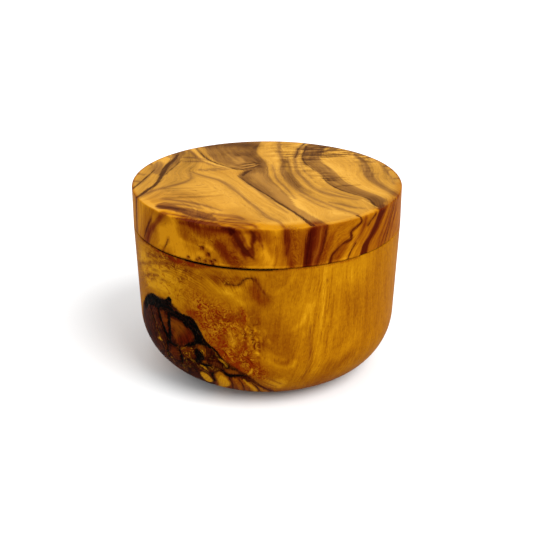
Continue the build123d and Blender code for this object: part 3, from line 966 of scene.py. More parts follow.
    # The back of the wall, where the same figure comes down from the top
    line("line", (0.5, 0.6, 0.4), rim(-176, 4), rim(-174, 10), rim(-170, 17))
    line("line", (0.4, 0.5, 0.3), rim(161, 0), rim(163, 5), rim(165, 10), rim(164, 17))
    line("line", (0.4, 0.6, 0.4), rim(150, 1), rim(147, 7), rim(147, 17))
    line("vein", (0.4, 0.6), rim(-163, 1), rim(-160, 9), rim(-159, 17))
    line("vein", (0.4, 0.5), (5, 45), rim(174, 2), rim(172, 10), rim(173, 17))
    for angle in (132, 118, 104, 92):
        line("vein", (0.3, 0.7, 0.4), rim(angle, -4), rim(angle + 1, 3), rim(angle - 3, 10),
             rim(angle - 2, 17))
    line("brown", (0.5, 2.0, 1.2), rim(110, -2), rim(111, 3), rim(107, 10), rim(108, 17))
    line("brown", (1.2, 0.8, 1.6), rim(-134, -1), rim(-137, 5), rim(-134, 11), rim(-137, 17))
    for angle in (-174, -167, -160, -153, 156, 162):
        brush("tone", -0.8, 1.1, rim(angle, 0), rim(angle + 1, 6), rim(angle - 1, 14))
    brush("tone", -0.4, 8, rim(-172, 7), rim(-150, 7))
    for angle in (-126, -112, -98, -88):
        line("vein", (0.4, 0.6, 0.3), rim(angle, -3), rim(angle - 3, 5), rim(angle - 1, 11),
             rim(angle - 4, 17))
    brush("red", 0.4, 4, rim(-120, 5), rim(-105, 9))
    brush("tone", 0.4, 4, rim(125, 4), rim(116, 10))


# Small dark pits in the burr on the lid's wall: angle, drop below the top, radius
LID_PITS = (
    (-26.0, 8.6, 0.75), (-23.4, 10.7, 0.8), (-32.5, 13.2, 0.45), (-27.2, 12.9, 0.45), (-22.2, 13.2, 0.5),
    (-24.8, 13.4, 0.4), (-20.6, 12.4, 0.35), (-28.6, 13.6, 0.35), (-21.4, 13.9, 0.35),
)


def make_lid():
    # A profile's corners are (radius, height, rounding)
    edge = TOP_Z - TOP_FALL
    outside = rounded_path(
        [(0, TOP_Z, 0), (TOP_FLAT, TOP_Z, 25.0), (RADIUS, edge, 0.3), (RADIUS, SEAM_Z + SEAM_CHAMFER, 0.15),
         (RADIUS - SEAM_CHAMFER, SEAM_Z, 0)], step=0.45)
    under = rounded_path(
        [(RADIUS - SEAM_CHAMFER, SEAM_Z, 0), (SPIGOT_RADIUS, SEAM_Z, 0.3), (SPIGOT_RADIUS, SPIGOT_Z, 0.8),
         (DISH_RADIUS, SPIGOT_Z, 0.6), (DISH_RADIUS * 0.66, SPIGOT_Z + DISH_DEPTH * 0.6, 60.0),
         (0, SPIGOT_Z + DISH_DEPTH, 0)], step=0.9)[1:]
    profile = np.vstack([outside, under])
    strides = [stride_at(radius, 24, 12, 6) * (1 if ring < len(outside) else 2)
               for ring, radius in enumerate(profile[:, 0])]
    lathe = Lathe(profile, strides, column_angles(front_step=0.42, back_step=0.62))

    radius, height = profile[lathe.ring_of].T
    outward = lathe.ring_of < len(outside)
    reach = np.where(outward, radius + TOP_Z - height, RADIUS + LID_WALL + (RADIUS - radius))
    chart = np.column_stack([reach * np.sin(lathe.angle), -reach * np.cos(lathe.angle)])
    canvas = Canvas(chart)
    paint_lid(canvas)
    canvas.soft["inner"] = np.where(outward, 0.0, 1.0)
    # On the turned wall and underneath, the walls' darker colours, partly painted shade, take over from the
    # face's colours with their painted sheen
    turned = np.clip(reach - RADIUS + 1, 0, 1) * np.where(outward, 1.0, 0.5)
    canvas.soft["wall"] = np.maximum(canvas.field("wall"), turned)

    across = Field([(value, [lid_point(place) for place in places]) for value, *places in LID_RINGS])
    x, y, z = lathe.points.T
    along = 0.85 * y - 0.35 * x + (z - TOP_Z)
    grain = np.column_stack([across(lathe.points), along, z])

    # Slow and fine unevenness, with the dark wood a little sunk, and the pits
    relief = 0.035 * lattice_noise(lathe.points, 9.0, 11) + 0.012 * lattice_noise(lathe.points, 2.6, 12)
    relief -= 0.03 * np.clip(canvas.field("brown") + 0.5, 0, 1)
    relief -= 0.05 * np.clip(canvas.field("line") + 0.5, 0, 1)
    around = np.degrees(lathe.angle)
    for angle, drop, size in LID_PITS:
        turn = (around - angle + 180) % 360 - 180
        gap = np.hypot(DEGREE * turn, reach - RADIUS - drop)
        relief -= 0.55 * np.exp(-((gap / (size * 0.8)) ** 4))
    relief *= outward
    return lathe.build("turned_lid", relief, {"grain": grain, **canvas.fields()}, len(outside) - 1)


# ---------------------------------------------------------------- the bowl

def paint_bowl(canvas):
    """Paints the figure. A place is an angle and the way down the outside from the seam."""
    line, area, brush = canvas.line, canvas.area, canvas.brush
    lines, areas, strokes = canvas.lines, canvas.areas, canvas.strokes

    # The dark ground round and below the knot
    area("ember", (-72, 30), (-67.4, 25.5), (-64, 22.8), (-60, 20.4), (-52, 19.2), (-44, 19), (-36, 23),
         (-30, 25.5), (-26.5, 30), (-22, 33.5), (-17, 37), (-12, 40), (-8, 42.5), (-6, 45.5), (-9, 46.5),
         (-12, 44.5), (-17.5, 45), (-20, 42.5), (-23, 44), (-25, 50), (-30, 58), (-36, 64), (-50, 65),
         (-66, 56), (-76, 43))

    # The knot's black crust, its cracks and the black outlines that run down from it
    area("char", (-69, 28), (-67.4, 25.5), (-64.3, 23.1), (-60.1, 20.8), (-57, 19.6), (-53.2, 19.8),
         (-49.8, 19.8), (-47.5, 19), (-45.6, 17.2), (-44.1, 17), (-43.1, 18.5), (-43.6, 20.1), (-42.5, 22),
         (-40.6, 21.8), (-37.6, 22.1), (-33.8, 22), (-31.9, 22.6), (-30.3, 24.1), (-28.4, 27.1),
         (-26.5, 29.8), (-24.6, 31.8), (-26.5, 32.2), (-30, 32.5), (-32.4, 32.4), (-31.8, 30.6),
         (-32.6, 28.2), (-36, 26.7), (-38.4, 25), (-41, 24.8), (-44.5, 24.8), (-46, 24.2), (-49.8, 23.8),
         (-53, 24.3), (-57, 25), (-62, 26), (-66, 29))
    area("char", (-31.5, 34.6), (-29.6, 34.8), (-27.9, 36), (-27.2, 38.2), (-28.6, 38.6), (-29.6, 40.2),
         (-32.4, 40.4), (-31.4, 38.2), (-32.3, 36.6))
    lines("char", (
        ((0.7, 0.9, 0.8, 1.0), (-45.9, 24), (-46, 28), (-46, 32), (-46.6, 35.5)),
        ((0.8, 0.8, 1.0), (-53.4, 24.5), (-52.3, 27.5), (-50.6, 30.5), (-48.6, 33), (-47, 35.5)),
        ((0.8, 0.5, 0.2), (-47.5, 35.8), (-44, 36.3), (-41, 36)),
        ((0.3, 0.6, 0.9), (-38.5, 35.4), (-35, 33.9), (-32, 32.6)),
        ((0.6, 0.5, 0.3), (-48, 36.5), (-49, 40), (-50, 44)),
        ((0.3, 0.7, 0.4), (-40.6, 37), (-39.8, 40.5), (-41, 44)),
        ((0.3, 0.6, 0.5, 0.2), (-30, 40), (-27.6, 40.8), (-25.6, 40.3), (-24, 40)),
        ((0.6, 0.5, 0.4, 0.2), (-25, 31.8), (-22, 33.3), (-20, 35.5), (-18.2, 37.2)),
        ((0.2, 0.6, 0.8, 0.5, 0.6, 0.3), (-20, 41), (-18.6, 42.4), (-17, 44), (-14.7, 43.6), (-11.6, 43.2),
         (-8.6, 43)),
        ((0.2, 0.5, 0.2), (-24, 43), (-25.2, 46), (-24.8, 49)),
        ((0.1, 0.4, 0.1), (-61, 25), (-58, 30), (-53, 35)),
    ))
    line("brown", (0.8, 1.5, 1.2, 0.9, 0.7), (-9.6, 42.6), (-6, 45), (-3, 48.5), (0, 51.5), (2.5, 55),
         (3.5, 60))
    line("line", (0.5, 0.9, 0.5, 0.7, 0.4), (-9.6, 43), (-6.4, 45.2), (-3.4, 48.7), (-0.6, 51.5), (2, 55),
         (3, 60))

    # Facets between the cracks, from orange-brown to deep red
    areas("facet", (
        ((-52.9, 26.1), (-51.3, 24.8), (-48.3, 24.8), (-46.8, 25.8), (-47.1, 28.5), (-46.8, 30.8),
         (-47.9, 32.1), (-49.8, 30.1), (-51.3, 27.8)),
        ((-44.9, 25.8), (-41.8, 25.4), (-38, 25.6), (-36.1, 27.1), (-33.4, 28.1), (-32.6, 30.1),
         (-33, 31.5), (-36.1, 33.6), (-38.7, 34.8), (-41.4, 34.8), (-43, 32.8), (-44.5, 31.8), (-45, 29.1)),
        ((-46, 38), (-43.7, 37.6), (-41.8, 38.6), (-41.4, 40.5), (-42.4, 42.6), (-44.5, 43), (-46.4, 42),
         (-46.6, 40.1)),
        ((-39.3, 35.9), (-36, 35), (-32.8, 35.2), (-32, 36.8), (-33, 39), (-36, 40), (-39, 39.2)),
        ((-30.6, 33.9), (-29.4, 32.5), (-27.4, 31.9), (-26.2, 33.6), (-26.1, 36.6), (-27.3, 36.3),
         (-28.1, 34.2), (-29.6, 34.4)),
        ((-29, 38.8), (-27.6, 38.2), (-26, 38.9), (-26.6, 39.8), (-28.4, 39.6)),
        ((-56.3, 22.2), (-54.3, 21.8), (-53.4, 23.4), (-55, 24)),
        ((-18, 40.8), (-15.5, 40.2), (-12.6, 41), (-12.2, 42.2), (-14.5, 42.6), (-17.3, 42.6)),
    ))
    strokes("glow", (
        (0.5, 1.8, (-51, 25.6), (-49, 27.5)),
        (0.25, 1.2, (-48.4, 30)),
        (1.0, 2.4, (-43.6, 27.6), (-39, 27.6)),
        (0.7, 1.2, (-40.5, 30), (-42.8, 32.8)),
        (0.25, 2.2, (-44, 39), (-43, 42)),
        (0.35, 2.2, (-38, 37), (-34, 37)),
        (1.0, 1.2, (-29, 33.4), (-27.3, 33.6), (-26.8, 36)),
        (1.0, 0.9, (-27.4, 39)),
        (0.9, 1.0, (-55, 22.8)),
        (1.0, 1.5, (-16.4, 41.4), (-13.6, 41.8)),
    ))
    strokes("burr", (
        (0.9, 2.2, (-38, 37.4), (-34, 37), (-28, 34.5)),
        (0.25, 2.4, (-60, 30), (-52, 37)),
        (0.6, 2.4, (-50, 42), (-42, 48)),
        (0.45, 3.0, (-38, 42), (-30, 43), (-22, 39)),
    ))

    # Gold and brown between the outlines at the bottom
    strokes("tone", (
        (-0.6, 3.0, (-29, 48), (-20, 49)),
        (-0.6, 1.0, (-2.5, 47), (1, 49), (6, 50.4)),
        (-0.5, 1.0, (-2.8, 42), (1, 45.2), (6, 48)),
        (0.3, 1.6, (1, 41), (5, 43)),
    ))
    area("gold", (-31.4, 45.8), (-29, 45), (-27, 46.6), (-26.6, 49), (-27.6, 51.2), (-29.4, 52.4),
         (-31.2, 52.6), (-31.8, 49.6))
    area("gold", (-21.8, 46), (-20.6, 44.4), (-18.8, 45.4), (-17.6, 48.6), (-18.5, 51.6), (-21.4, 54),
         (-25, 57), (-29, 61), (-27.5, 57.5), (-23.6, 52), (-22.4, 49))
    lines("gold", (
        ((0.1, 0.3, 0.1), (-29.8, 41.4), (-28, 42), (-26.6, 43.4)),
        ((0.2, 0.9, 0.9, 0.7), (-10.2, 45.2), (-8.6, 48), (-6.6, 51), (-6, 56), (-8, 62)),
        ((0.1, 0.6, 0.1), (-56, 37.5), (-54, 37), (-51.8, 37.2)),
        ((0.1, 0.5, 0.1), (-8, 42), (-6.6, 40.6), (-6.2, 39)),
        ((0.05, 0.15, 0.05), (-20.6, 36.4), (-18.4, 37.6), (-17, 39.4)),
    ))
    area("brown", (-20, 52.5), (-16, 50), (-14.6, 55), (-15, 61), (-22, 62), (-21.5, 57))
    line("brown", (0.8, 1.2, 1.6, 1.4), (-24.8, 44.5), (-24.6, 48.5), (-27, 53), (-32, 59))
    line("brown", (0.6, 1.2, 1.6), (-16, 45), (-15.4, 50), (-16.5, 58))
    line("brown", (0.3, 0.8, 1.2), (-9, 51), (-9.4, 56), (-12, 62))
    lines("line", (
        ((0.4, 0.6, 0.6), (-25.6, 45), (-25.6, 49), (-28.5, 54), (-34, 60)),
        ((0.4, 0.6), (-16.8, 45), (-16.4, 50), (-19, 58)),
        ((0.2, 0.4, 0.4), (-12.4, 45), (-11.2, 50), (-12, 58)),
        ((0.2, 0.4, 0.5), (-7.6, 46), (-4.6, 50.5), (-3.6, 57)),
    ))
    lines("vein", (
        ((0.3, 0.5, 0.4), (-1, 49), (2, 52.5), (3, 60)),
        ((0.2, 0.4, 0.1), (-5, 43.5), (0, 47), (4, 49.6)),
        ((0.2, 0.4, 0.1), (-4, 45), (-0.5, 48.6), (3.5, 51)),
        ((0.1, 0.4, 0.1), (-2, 42.5), (2.5, 45), (6.5, 47.5)),
    ))
    brush("red", 0.8, 4.0, (-16, 39), (-12, 47), (-11, 56))
    brush("red", 0.5, 3.5, (-4, 40), (1, 54))

    # The burr at the left: gold, with dark streaks that rise to the right, and a red strip at the seam
    brush("straight", 1.3, 7, (-74, 12), (-60, 8), (-44, 6), (-34, 7))
    brush("tone", -1.1, 5, (-64, 9), (-56, 11), (-48, 9))
    brush("tone", -0.3, 3, (-42, 10), (-36, 11))
    brush("tone", -0.35, 3.5, (-62, 14), (-50, 14), (-40, 16))
    brush("burr", 1.0, 6, (-64, 12), (-50, 9), (-38, 10))
    brush("burr", 0.6, 4, (-58, 3), (-44, 4), (-30, 4))
    brush("burr", 0.5, 3, (-46, 14), (-36, 16))
    for angle, drop, length in ((-60, 6, 4), (-56, 10, 5), (-52, 6, 4), (-48, 8, 5), (-44, 5.6, 4),
                                (-40, 9, 4), (-50, 12.4, 3), (-57, 14, 3), (-36, 5, 4)):
        line("vein", (0.05, 0.35, 0.05), (angle, drop), (angle + length * 0.6, drop - 0.9),
             (angle + length * 1.2, drop - 1.2))
    lines("vein", (
        ((0.2, 0.7, 0.3), (-66, 15.5), (-58, 12.5), (-51, 10.6)),
        ((0.2, 0.7, 0.3), (-64, 10.5), (-56, 7), (-46, 4.5), (-41, 3.2)),
        ((0.2, 0.6, 0.2), (-60, 4.8), (-50, 3), (-42, 1.6)),
        ((0.1, 0.5, 0.1), (-70, 12), (-63, 9.5), (-56, 8.6)),
    ))
    brush("red", 0.7, 1.3, (-50, 4.4), (-44, 3.4), (-38, 2.4))
    brush("red", 1.0, 1.1, (-50, 0.9), (-40, 1.4), (-32, 1.5), (-24, 0.8))
    strokes("tone", (
        (1.0, 0.9, (-46, 1.2), (-34, 1.7), (-26, 1.0)),
        (0.6, 1.6, (-48, 11), (-44.5, 11)),
        (0.3, 3.0, (-34, 5), (-26, 5)),
        (-0.7, 1.2, (-60, 16.5), (-52, 14.5), (-48, 13)),
        (-0.5, 1.0, (-50, 13.5), (-47.8, 11)),
    ))

    # The pale swirl under the seam, with its wavy dark hairline
    strokes("tone", (
        (-0.45, 1.3, (-24, 6.5), (-19, 9.6), (-14, 10.6), (-9.5, 13.5)),
        (-0.4, 1.4, (-17, 8.4), (-13, 9), (-9.5, 7.6), (-7.6, 5.8)),
        (0.45, 2.2, (-21, 4.5), (-16, 5), (-12, 4.6)),
        (0.8, 2.8, (-5.6, 7), (-4, 10), (-1.5, 12)),
        (0.5, 2.6, (-5.5, 17), (-4, 20.5)),
        (0.28, 4.5, (4, 22), (6, 31)),
        (-0.3, 0.9, (3.6, 9), (6.4, 7.6), (9.2, 5), (11, 2)),
    ))
    brush("straight", 1.0, 3, (-20, 6), (-10, 7))
    line("line", 0.2, (-16.4, 6.2), (-13, 6.6), (-10.5, 6), (-9.5, 4.6), (-8, 3.8), (-6, 3.6), (-4.4, 4))
    line("vein", (0.2, 0.3, 0.2), (-4.4, 4), (-2.8, 6.6), (-0.4, 9.8))
    brush("red", 0.3, 2.6, (-4.5, 7), (-3, 10))

    # Red-brown speckle beside the knot, with gold in it, and a faint redness that runs on to its right
    strokes("red", (
        (0.3, 3.4, (-31, 12), (-25, 13), (-18, 14)),
        (1.0, 2.2, (-34, 21), (-29, 20.5), (-26.5, 23)),
        (0.7, 3.2, (-28, 17), (-20, 17.5), (-12, 19)),
        (0.5, 2.6, (-22, 21), (-13, 22.6)),
        (1.0, 0.9, (-10.3, 15.5), (-8.9, 18.5), (-9.6, 21.6)),
        (1.0, 2.8, (-20, 27), (-18, 33), (-13, 38)),
        (0.9, 3.0, (-9.5, 32), (-6, 38), (-3, 42)),
        (0.5, 3.0, (-24, 25), (-16, 24), (-9, 29)),
        (0.25, 7.0, (4, 44), (16, 46), (26, 48)),
        (0.8, 2.2, (-26, 26), (-23, 31), (-19, 36)),
    ))
    strokes("tone", (
        (0.35, 4.0, (-7, 27), (-1, 28)),
        (0.7, 2.2, (-31, 21), (-27, 21.6), (-19, 20), (-12, 19)),
        (0.45, 2.2, (-19, 27), (-18, 33), (-12, 38)),
        (0.5, 2.6, (-9.5, 33), (-5, 39)),
        (-0.45, 1.6, (-25, 24.6), (-21, 25.6), (-18, 24)),
        (-1.0, 1.5, (-14.8, 26.6), (-13.6, 29.4)),
        (-0.6, 1.1, (-15, 22), (-12.4, 23)),
    ))
    strokes("burr", (
        (0.6, 4.2, (-28, 16), (-18, 17), (-11, 20)),
        (0.8, 4.2, (-24, 24), (-16, 24), (-12, 28)),
        (0.8, 3.4, (-17, 34), (-9, 36), (-4, 41)),
        (0.9, 3.0, (-7, 22), (-4, 28), (-5, 33)),
        (0.5, 3.0, (-19, 5), (-10, 8)),
    ))

    # Bright flecks that stand upright beside the burr
    for angle, drop, length, amount in (
        (-8.4, 17.5, 3.4, 1.2), (-8.2, 22.5, 3.6, 1.1), (-7.2, 26.6, 3.6, 1.3), (-5.0, 22.6, 2.6, 1.1),
        (-4.4, 26, 2.6, 1.2), (-2.6, 26.2, 3.0, 1.1), (-1.0, 23.4, 2.2, 0.7), (0.6, 27.2, 1.8, 0.9),
        (-4.2, 32.4, 0.5, 2.2), (-2.6, 33.8, 0.7, 0.9), (-7.8, 31.2, 1.4, 1.2), (-11.4, 25.4, 2.4, 0.7),
        (-6.4, 30, 1.4, 0.8), (-1.4, 30, 1.8, 0.6), (-12.6, 20.6, 1.4, 0.9), (-22, 18, 1.0, 0.7),
    ):
        brush("tone", -0.6 * amount, 0.5, (angle, drop), (angle + 0.6, drop + 0.6 * length))
    for angle, drop, length in ((-9.4, 23, 4), (-6.2, 23.6, 5), (-3.4, 28, 4), (-9.0, 28.4, 4),
                                (-1.8, 27, 4), (-5.6, 27.5, 3)):
        brush("tone", 0.6, 0.55, (angle, drop), (angle + 0.6, drop + length))
    brush("tone", -0.45, 0.9, (0.5, 35.4), (3.5, 37.4), (7, 38.7), (10, 38.4), (11.6, 36.4))
    brush("tone", -0.3, 1.0, (1, 33), (4, 34.6), (7, 35.2))
    brush("tone", 0.25, 1.4, (4, 36), (8, 36.8))

    # The calm side: a fan of straight grain with a pale border, then plain amber, darker to the foot
    brush("straight", 1.0, 8, (23, -2), (22, 15), (20, 34), (18, 46))
    brush("straight", 0.4, 14, (48, 0), (50, 20), (44, 42))
    strokes("tone", (
        (-0.22, 3.0, (17.6, -1), (16.6, 10), (15.6, 20), (14, 29)),
        (-0.3, 1.1, (14.8, 25), (13.4, 31), (12.2, 35.6), (11, 38)),
        (-0.45, 0.9, (17, 14.6), (16.2, 18), (14, 21.4), (11, 23.4)),
        (-0.3, 3.2, (25, -1), (24, 14), (23, 28), (20, 41)),
        (-0.25, 0.8, (23.8, 1), (23.4, 12), (22.4, 24)),
        (-0.25, 0.8, (30.4, 7), (30.6, 16), (29.6, 27)),
        (-0.3, 2.4, (31, 38), (37, 34), (41, 31)),
        (0.25, 4, (10, 28), (9, 34)),
        (0.12, 3.0, (36, 16), (38, 23)),
        (0.4, 3.0, (32, 42), (38, 39)),
        (-0.35, 7, (30, 4), (42, 6)),
        (0.12, 9, (44, 26), (56, 22)),
        (0.45, 6, (8, 57), (40, 56), (70, 58)),
    ))
    brush("red", 0.3, 7, (10, 60), (30, 58), (60, 60))
    line("vein", (0.05, 0.25, 0.15), (18, 23), (18, 30), (18.3, 34), (17.8, 37), (16.8, 42), (15.4, 44.6))
    for angle, start, end in ((22.3, 1, 10), (21.4, 8, 17), (20.2, 16, 26), (24.8, 6, 24), (26.6, 2, 19),
                              (28, 12, 26), (25.8, 24, 36), (19.4, 28, 42), (35.4, 18, 24), (36.2, 19, 26)):
        lean = -0.07 * (end - start)
        brush("tone", 0.3, 0.35, (angle, start), (angle + lean * 0.4, (start + end) / 2),
              (angle + lean, end))

    # Painted shade in the seam's gap, red-brown and black along the bowl's upper edge
    brush("red", 1.0, 0.6, (-66, 0.4), (-20, 0.4))
    brush("red", 0.8, 0.4, (-20, 0.3), (40, 0.3))
    strokes("seam_shade", (
        (0.8, 0.3, (-64, 0.05), (4, 0.05)),
        (0.35, 0.25, (4, 0.05), (62, 0.05)),
        (0.6, 0.3, (-50, 0.2), (-20, 0.3), (8, 0.2)),
        (0.5, 0.25, (-34, 0.4), (-14, 0.45), (2, 0.35)),
    ))

    # Slow changes of tone over the burr and low on the wall
    strokes("tone", (
        (-0.8, 3.2, (-29, 16), (-27, 19), (-23, 26)),
        (-0.3, 4, (-24, 18), (-18, 22)),
        (-0.5, 5, (-60, 9), (-52, 11)),
        (-0.9, 3, (-5, 46), (1, 47.5), (6, 47)),
        (-0.12, 3, (31, 42), (38, 42)),
    ))
    brush("red", 0.4, 5.5, (-31, 14), (-23, 23), (-17, 34), (-10, 42))

    # The back: growth bands that come down the wall and lean with the grain, and a second, small burr
    for angle, width, name in (
        (88, 0.35, "vein"), (97, 1.4, "brown"), (104, 0.4, "line"), (112, 0.5, "vein"), (121, 0.4, "vein"),
        (129, 2.4, "brown"), (137, 0.45, "line"), (149, 0.5, "vein"), (158, 0.4, "vein"),
        (167, 1.2, "brown"), (-118, 0.5, "vein"), (-108, 0.9, "brown"), (-99, 0.4, "line"),
    ):
        line(name, (width, width * 1.5, width * 0.8, width * 1.3, 0.1), (angle, -2), (angle - 5, 14),
             (angle - 3, 30), (angle - 10, 48), (angle - 16, 74))
    brush("straight", 0.8, 22, (110, 5), (150, 45))
    brush("burr", 0.9, 12, (-165, 18), (-140, 30))
    brush("red", 0.5, 6, (-158, 20), (-146, 28))
    brush("tone", -0.3, 8, (-170, 8), (-135, 14))
    brush("tone", 0.35, 9, (-150, 50), (-110, 48))
    for angle, drop in ((-152, 22), (-149, 25), (-155, 26), (-146, 22), (-150, 29)):
        line("line", (0.3, 0.6, 0.2), (angle, drop), (angle + 1.2, drop + 0.5), (angle + 2, drop - 0.3))


# Growth lines of the bowl: millimetres across the grain, and the places that share them
BOWL_RINGS = (
    (-62, (-46, 33)),
    (-46, (-60, 27), (-52, 20), (-42, 21), (-31, 25), (-28, 36), (-40, 46), (-60, 42)),
    (-32, (-80, 22), (-66, 15), (-48, 11), (-30, 14), (-20, 24), (-20, 40), (-32, 58)),
    (-18, (-90, 10), (-60, 2), (-36, 1), (-16, 10), (-11, 26), (-11, 44), (-18, 62)),
    (-6, (-6, 0), (-4, 14), (-4, 30), (-3, 46), (-4, 64)),
    (11, (16, 0), (14, 12), (12, 24), (10, 36), (8, 52)),
    (19, (24, 0), (22, 20), (19, 38), (16, 54)),
    (38, (44, 0), (46, 22), (44, 42), (40, 60)),
    (62, (72, 0), (74, 24), (72, 44), (66, 60)),
    (90, (104, 0), (100, 24), (98, 46), (90, 62)),
    (118, (136, 0), (131, 24), (128, 46), (120, 62)),
    (146, (167, 0), (163, 24), (160, 46), (152, 62)),
)


def make_bowl():
    inside = rounded_path(
        [(0, FLOOR_Z, 0), (INNER_FOOT, FLOOR_Z, INNER_CORNER), (MOUTH_RADIUS, MOUTH_Z, 0.2),
         (MOUTH_RADIUS, SEAM_Z, 0.6), (RADIUS - SEAM_CHAMFER, SEAM_Z, 0)], step=1.3)
    outside = rounded_path(
        [(RADIUS - SEAM_CHAMFER, SEAM_Z, 0), (RADIUS, SEAM_Z - SEAM_CHAMFER, 0.15),
         (FOOT_RADIUS, 0, BOTTOM_CORNER), (RECESS_RADIUS, 0, 0.6), (RECESS_RADIUS, RECESS_DEPTH, 0.6),
         (0, RECESS_DEPTH, 0)], step=0.5)[1:]
    profile = np.vstack([inside, outside])
    seam_ring = len(inside) - 1
    strides = []
    for ring, (radius, height) in enumerate(profile):
        stride = stride_at(radius, 24, 12)
        if ring < seam_ring:
            stride *= 4
        elif ring > seam_ring and height < BOTTOM_CORNER and radius < 30:
            stride *= 2
        strides.append(stride)
    strides[seam_ring - 2:seam_ring + 1] = [4, 2, 1]  # from the coarse inside to the fine outside
    lathe = Lathe(profile, strides, column_angles(front_step=0.44, back_step=0.80))

    outward = lathe.ring_of >= seam_ring
    turn = np.degrees((lathe.angle + pi) % (2 * pi) - pi)
    drop = lathe.length[lathe.ring_of] - lathe.length[seam_ring]
    canvas = Canvas(np.column_stack([turn * DEGREE, drop]), unit=(DEGREE, 1), wrap=360 * DEGREE)
    paint_bowl(canvas)
    canvas.soft["inner"] = np.where(outward, np.clip((drop - PAINTED_DROP) / 4, 0, 1), 1.0)
    # The walls' darker colours outside, partly painted shade; inside and underneath, half way to the face's
    # colours with their painted sheen
    canvas.soft["wall"] = 1 - 0.5 * canvas.soft["inner"]

    drops = lathe.length[seam_ring:] - lathe.length[seam_ring]

    def bowl_point(place):
        """The point in space of a place on the bowl's outside."""
        angle = place[0] * DEGREE / RADIUS
        radius, height = (np.interp(place[1], drops, profile[seam_ring:, axis]) for axis in (0, 1))
        return (radius * sin(angle), -radius * cos(angle), height)

    across = Field([(value, [bowl_point(place) for place in places]) for value, *places in BOWL_RINGS])
    grain = np.column_stack([across(lathe.points), lathe.points[:, 2], lathe.points[:, 1] * 0.5])

    # Slow and fine unevenness, with sunk rough bark, a lively burr and the dark lines a little sunk
    bark = np.clip(canvas.field("char") + 0.4, 0, 1.2)
    relief = 0.03 * lattice_noise(lathe.points, 10.0, 21) + 0.012 * lattice_noise(lathe.points, 2.4, 22)
    relief -= bark * (0.22 + 0.10 * lattice_noise(lathe.points, 1.1, 23))
    relief += 0.05 * canvas.field("burr") * lattice_noise(lathe.points, 3.2, 24)
    relief -= 0.05 * np.clip(canvas.field("line") + 0.5, 0, 1)
    relief = np.where(outward & (drop < PAINTED_DROP), relief, 0)
    return lathe.build("turned_bowl", relief, {"grain": grain, **canvas.fields()}, seam_ring)


# ---------------------------------------------------------------- the soap

def make_soap():
    profile = rounded_path(
        [(0, SOAP_TOP - SOAP_DISH_DEPTH, 0), (18, SOAP_TOP - 1.0, 40.0), (SOAP_DISH_RADIUS, SOAP_TOP, 6.0),
         (SOAP_RADIUS, SOAP_TOP, 3.0), (SOAP_RADIUS - 0.5, FLOOR_Z, SOAP_CORNER), (0, FLOOR_Z, 0)], step=0.8)
    strides = [stride_at(radius, 20, 10) for radius in profile[:, 0]]
    lathe = Lathe(profile, strides, column_angles(front_step=0.9, back_step=0.9))

    # The top is uneven, with the faint swirls that a brush leaves
    upper = np.clip((lathe.points[:, 2] - SOAP_TOP + 4) / 2, 0, 1)
    uneven = 0.18 * lattice_noise(lathe.points, 7.0, 31) + 0.08 * lattice_noise(lathe.points, 2.2, 32)
    relief = upper * uneven
    radius = profile[lathe.ring_of, 0]
    swirl = np.sin(radius * 1.9 + 2 * lathe.angle + 1.5 * lattice_noise(lathe.points, 12.0, 33))
    relief += upper * 0.06 * swirl * np.clip(radius / 10, 0, 1)
    relief = np.minimum(relief, 0.25) - 0.2 * upper
    return lathe.build("soap_cake", relief, {}, len(profile) // 2)


def soap_material():
    s = Shader("shaving_soap", 0.48)
    mm_place = s.stretch(s.place, 1000, 1000, 1000)
    milled = s.noise(s.stretch(mm_place, 1, 1, 0.4), 0.16, 4.0, 0.6, 1.2)
    grains = s.noise(mm_place, 2.2, 3.0, 0.6)
    colour = s.ramp(milled, ((0.58, 0.51, 0.37), (0.66, 0.60, 0.47), (0.73, 0.68, 0.57)), 0.3, 0.7)
    lather = s.step(s.noise(mm_place, 0.3, 5.0, 0.7), 0.56, 0.64)
    colour = s.mix(s.math("MULTIPLY", lather, 0.6), colour, rgb(0.80, 0.78, 0.72))
    s.put(colour, s.surface.inputs["Base Color"])
    s.put(s.step(lather, 0.0, 1.0, 0.42, 0.68), s.surface.inputs["Roughness"])
    s.surface.inputs["Subsurface Weight"].default_value = 0.25
    s.surface.inputs["Subsurface Radius"].default_value = (0.004, 0.003, 0.002)
    s.surface.inputs["Subsurface Scale"].default_value = 0.5
    s.bump((grains, 0.3, 0.08), (lather, 0.4, 0.15))
    return s.material


# ---------------------------------------------------------------- pieces

LID_FIGURE = {"middle": 0.61, "broad": 0.85, "fine": 0.62, "hair": 0.20, "cloud": 0.30, "mottle": 0.16,
              "grit": 0.22}
BOWL_FIGURE = {"middle": 0.55, "broad": 0.35, "fine": 0.26, "hair": 0.18, "cloud": 0.30, "mottle": 0.30,
               "grit": 0.30}

lid = make_lid()
lid.data.materials.append(wood_material("lid_wood", LID_FIGURE, LID_WALL_WOOD))
bowl = make_bowl()
bowl.data.materials.append(wood_material("bowl_wood", BOWL_FIGURE, BOWL_WALL_WOOD))
soap = make_soap()
soap.data.materials.append(soap_material())

for piece, node, body, slot in ((lid, "lid", "lid", "lid_wood"), (bowl, "bowl", "bowl", "bowl_wood"),
                                (soap, "soap", "bowl", "soap")):
    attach(piece, body)
    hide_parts(node)


# ---------------------------------------------------------------- floor, light and camera

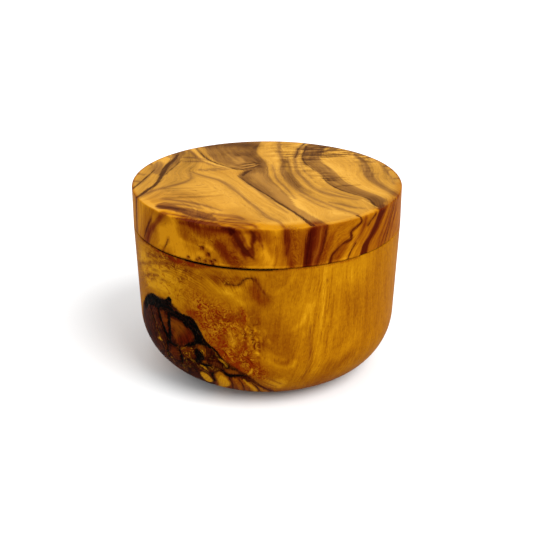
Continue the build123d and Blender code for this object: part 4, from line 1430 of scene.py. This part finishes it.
def add_floor(reach):
    mesh = bpy.data.meshes.new("floor")
    corners = [(-reach, -reach, 0), (reach, -reach, 0), (reach, reach, 0), (-reach, reach, 0)]
    mesh.from_pydata(corners, [], [(0, 1, 2, 3)])
    floor = bpy.data.objects.new("floor", mesh)
    bpy.context.scene.collection.objects.link(floor)
    s = Shader("floor_white", 0.9)
    s.surface.inputs["Base Color"].default_value = rgb(0.70, 0.70, 0.70)
    s.surface.inputs["Specular IOR Level"].default_value = 0.0
    mesh.materials.append(s.material)


def aim(thing, place, target):
    """Puts a light or camera at a place, turned towards a target."""
    thing.location = place
    thing.rotation_euler = (Vector(target) - Vector(place)).to_track_quat("-Z", "Y").to_euler()


def add_sun(name, azimuth, elevation, angle, strength):
    """A sun whose disc is angle degrees wide, seen at an azimuth from the front towards +X."""
    data = bpy.data.lights.new(name, "SUN")
    data.angle = radians(angle)
    data.energy = strength
    light = bpy.data.objects.new(name, data)
    bpy.context.scene.collection.objects.link(light)
    flat = cos(radians(elevation))
    place = (flat * sin(radians(azimuth)), -flat * cos(radians(azimuth)), sin(radians(elevation)))
    aim(light, place, (0, 0, 0))


def light_world(strength):
    """An even white sky."""
    world = bpy.data.worlds.new("studio")
    bpy.context.scene.world = world
    world.use_nodes = True
    background = world.node_tree.nodes["Background"]
    background.inputs["Color"].default_value = rgb(1, 1, 1)
    background.inputs["Strength"].default_value = strength


def add_camera(lens, distance, elevation, middle_z, target):
    """A camera at a distance and elevation from the mug's middle, which looks at the target."""
    data = bpy.data.cameras.new("camera")
    data.sensor_width = 36.0
    data.lens = lens
    camera = bpy.data.objects.new("camera", data)
    bpy.context.scene.collection.objects.link(camera)
    rise = radians(elevation)
    aim(camera, (0, -distance * cos(rise), distance * sin(rise) + middle_z), target)
    bpy.context.scene.camera = camera


add_floor(reach=12.0)
light_world(strength=1.25)
add_sun("key", azimuth=48, elevation=46, angle=40, strength=3.7)
add_camera(lens=74.7, distance=0.4258, elevation=23.585, middle_z=0.036, target=(-0.00016, 0, 0.03697))
bpy.context.scene.view_settings.view_transform = "Standard"
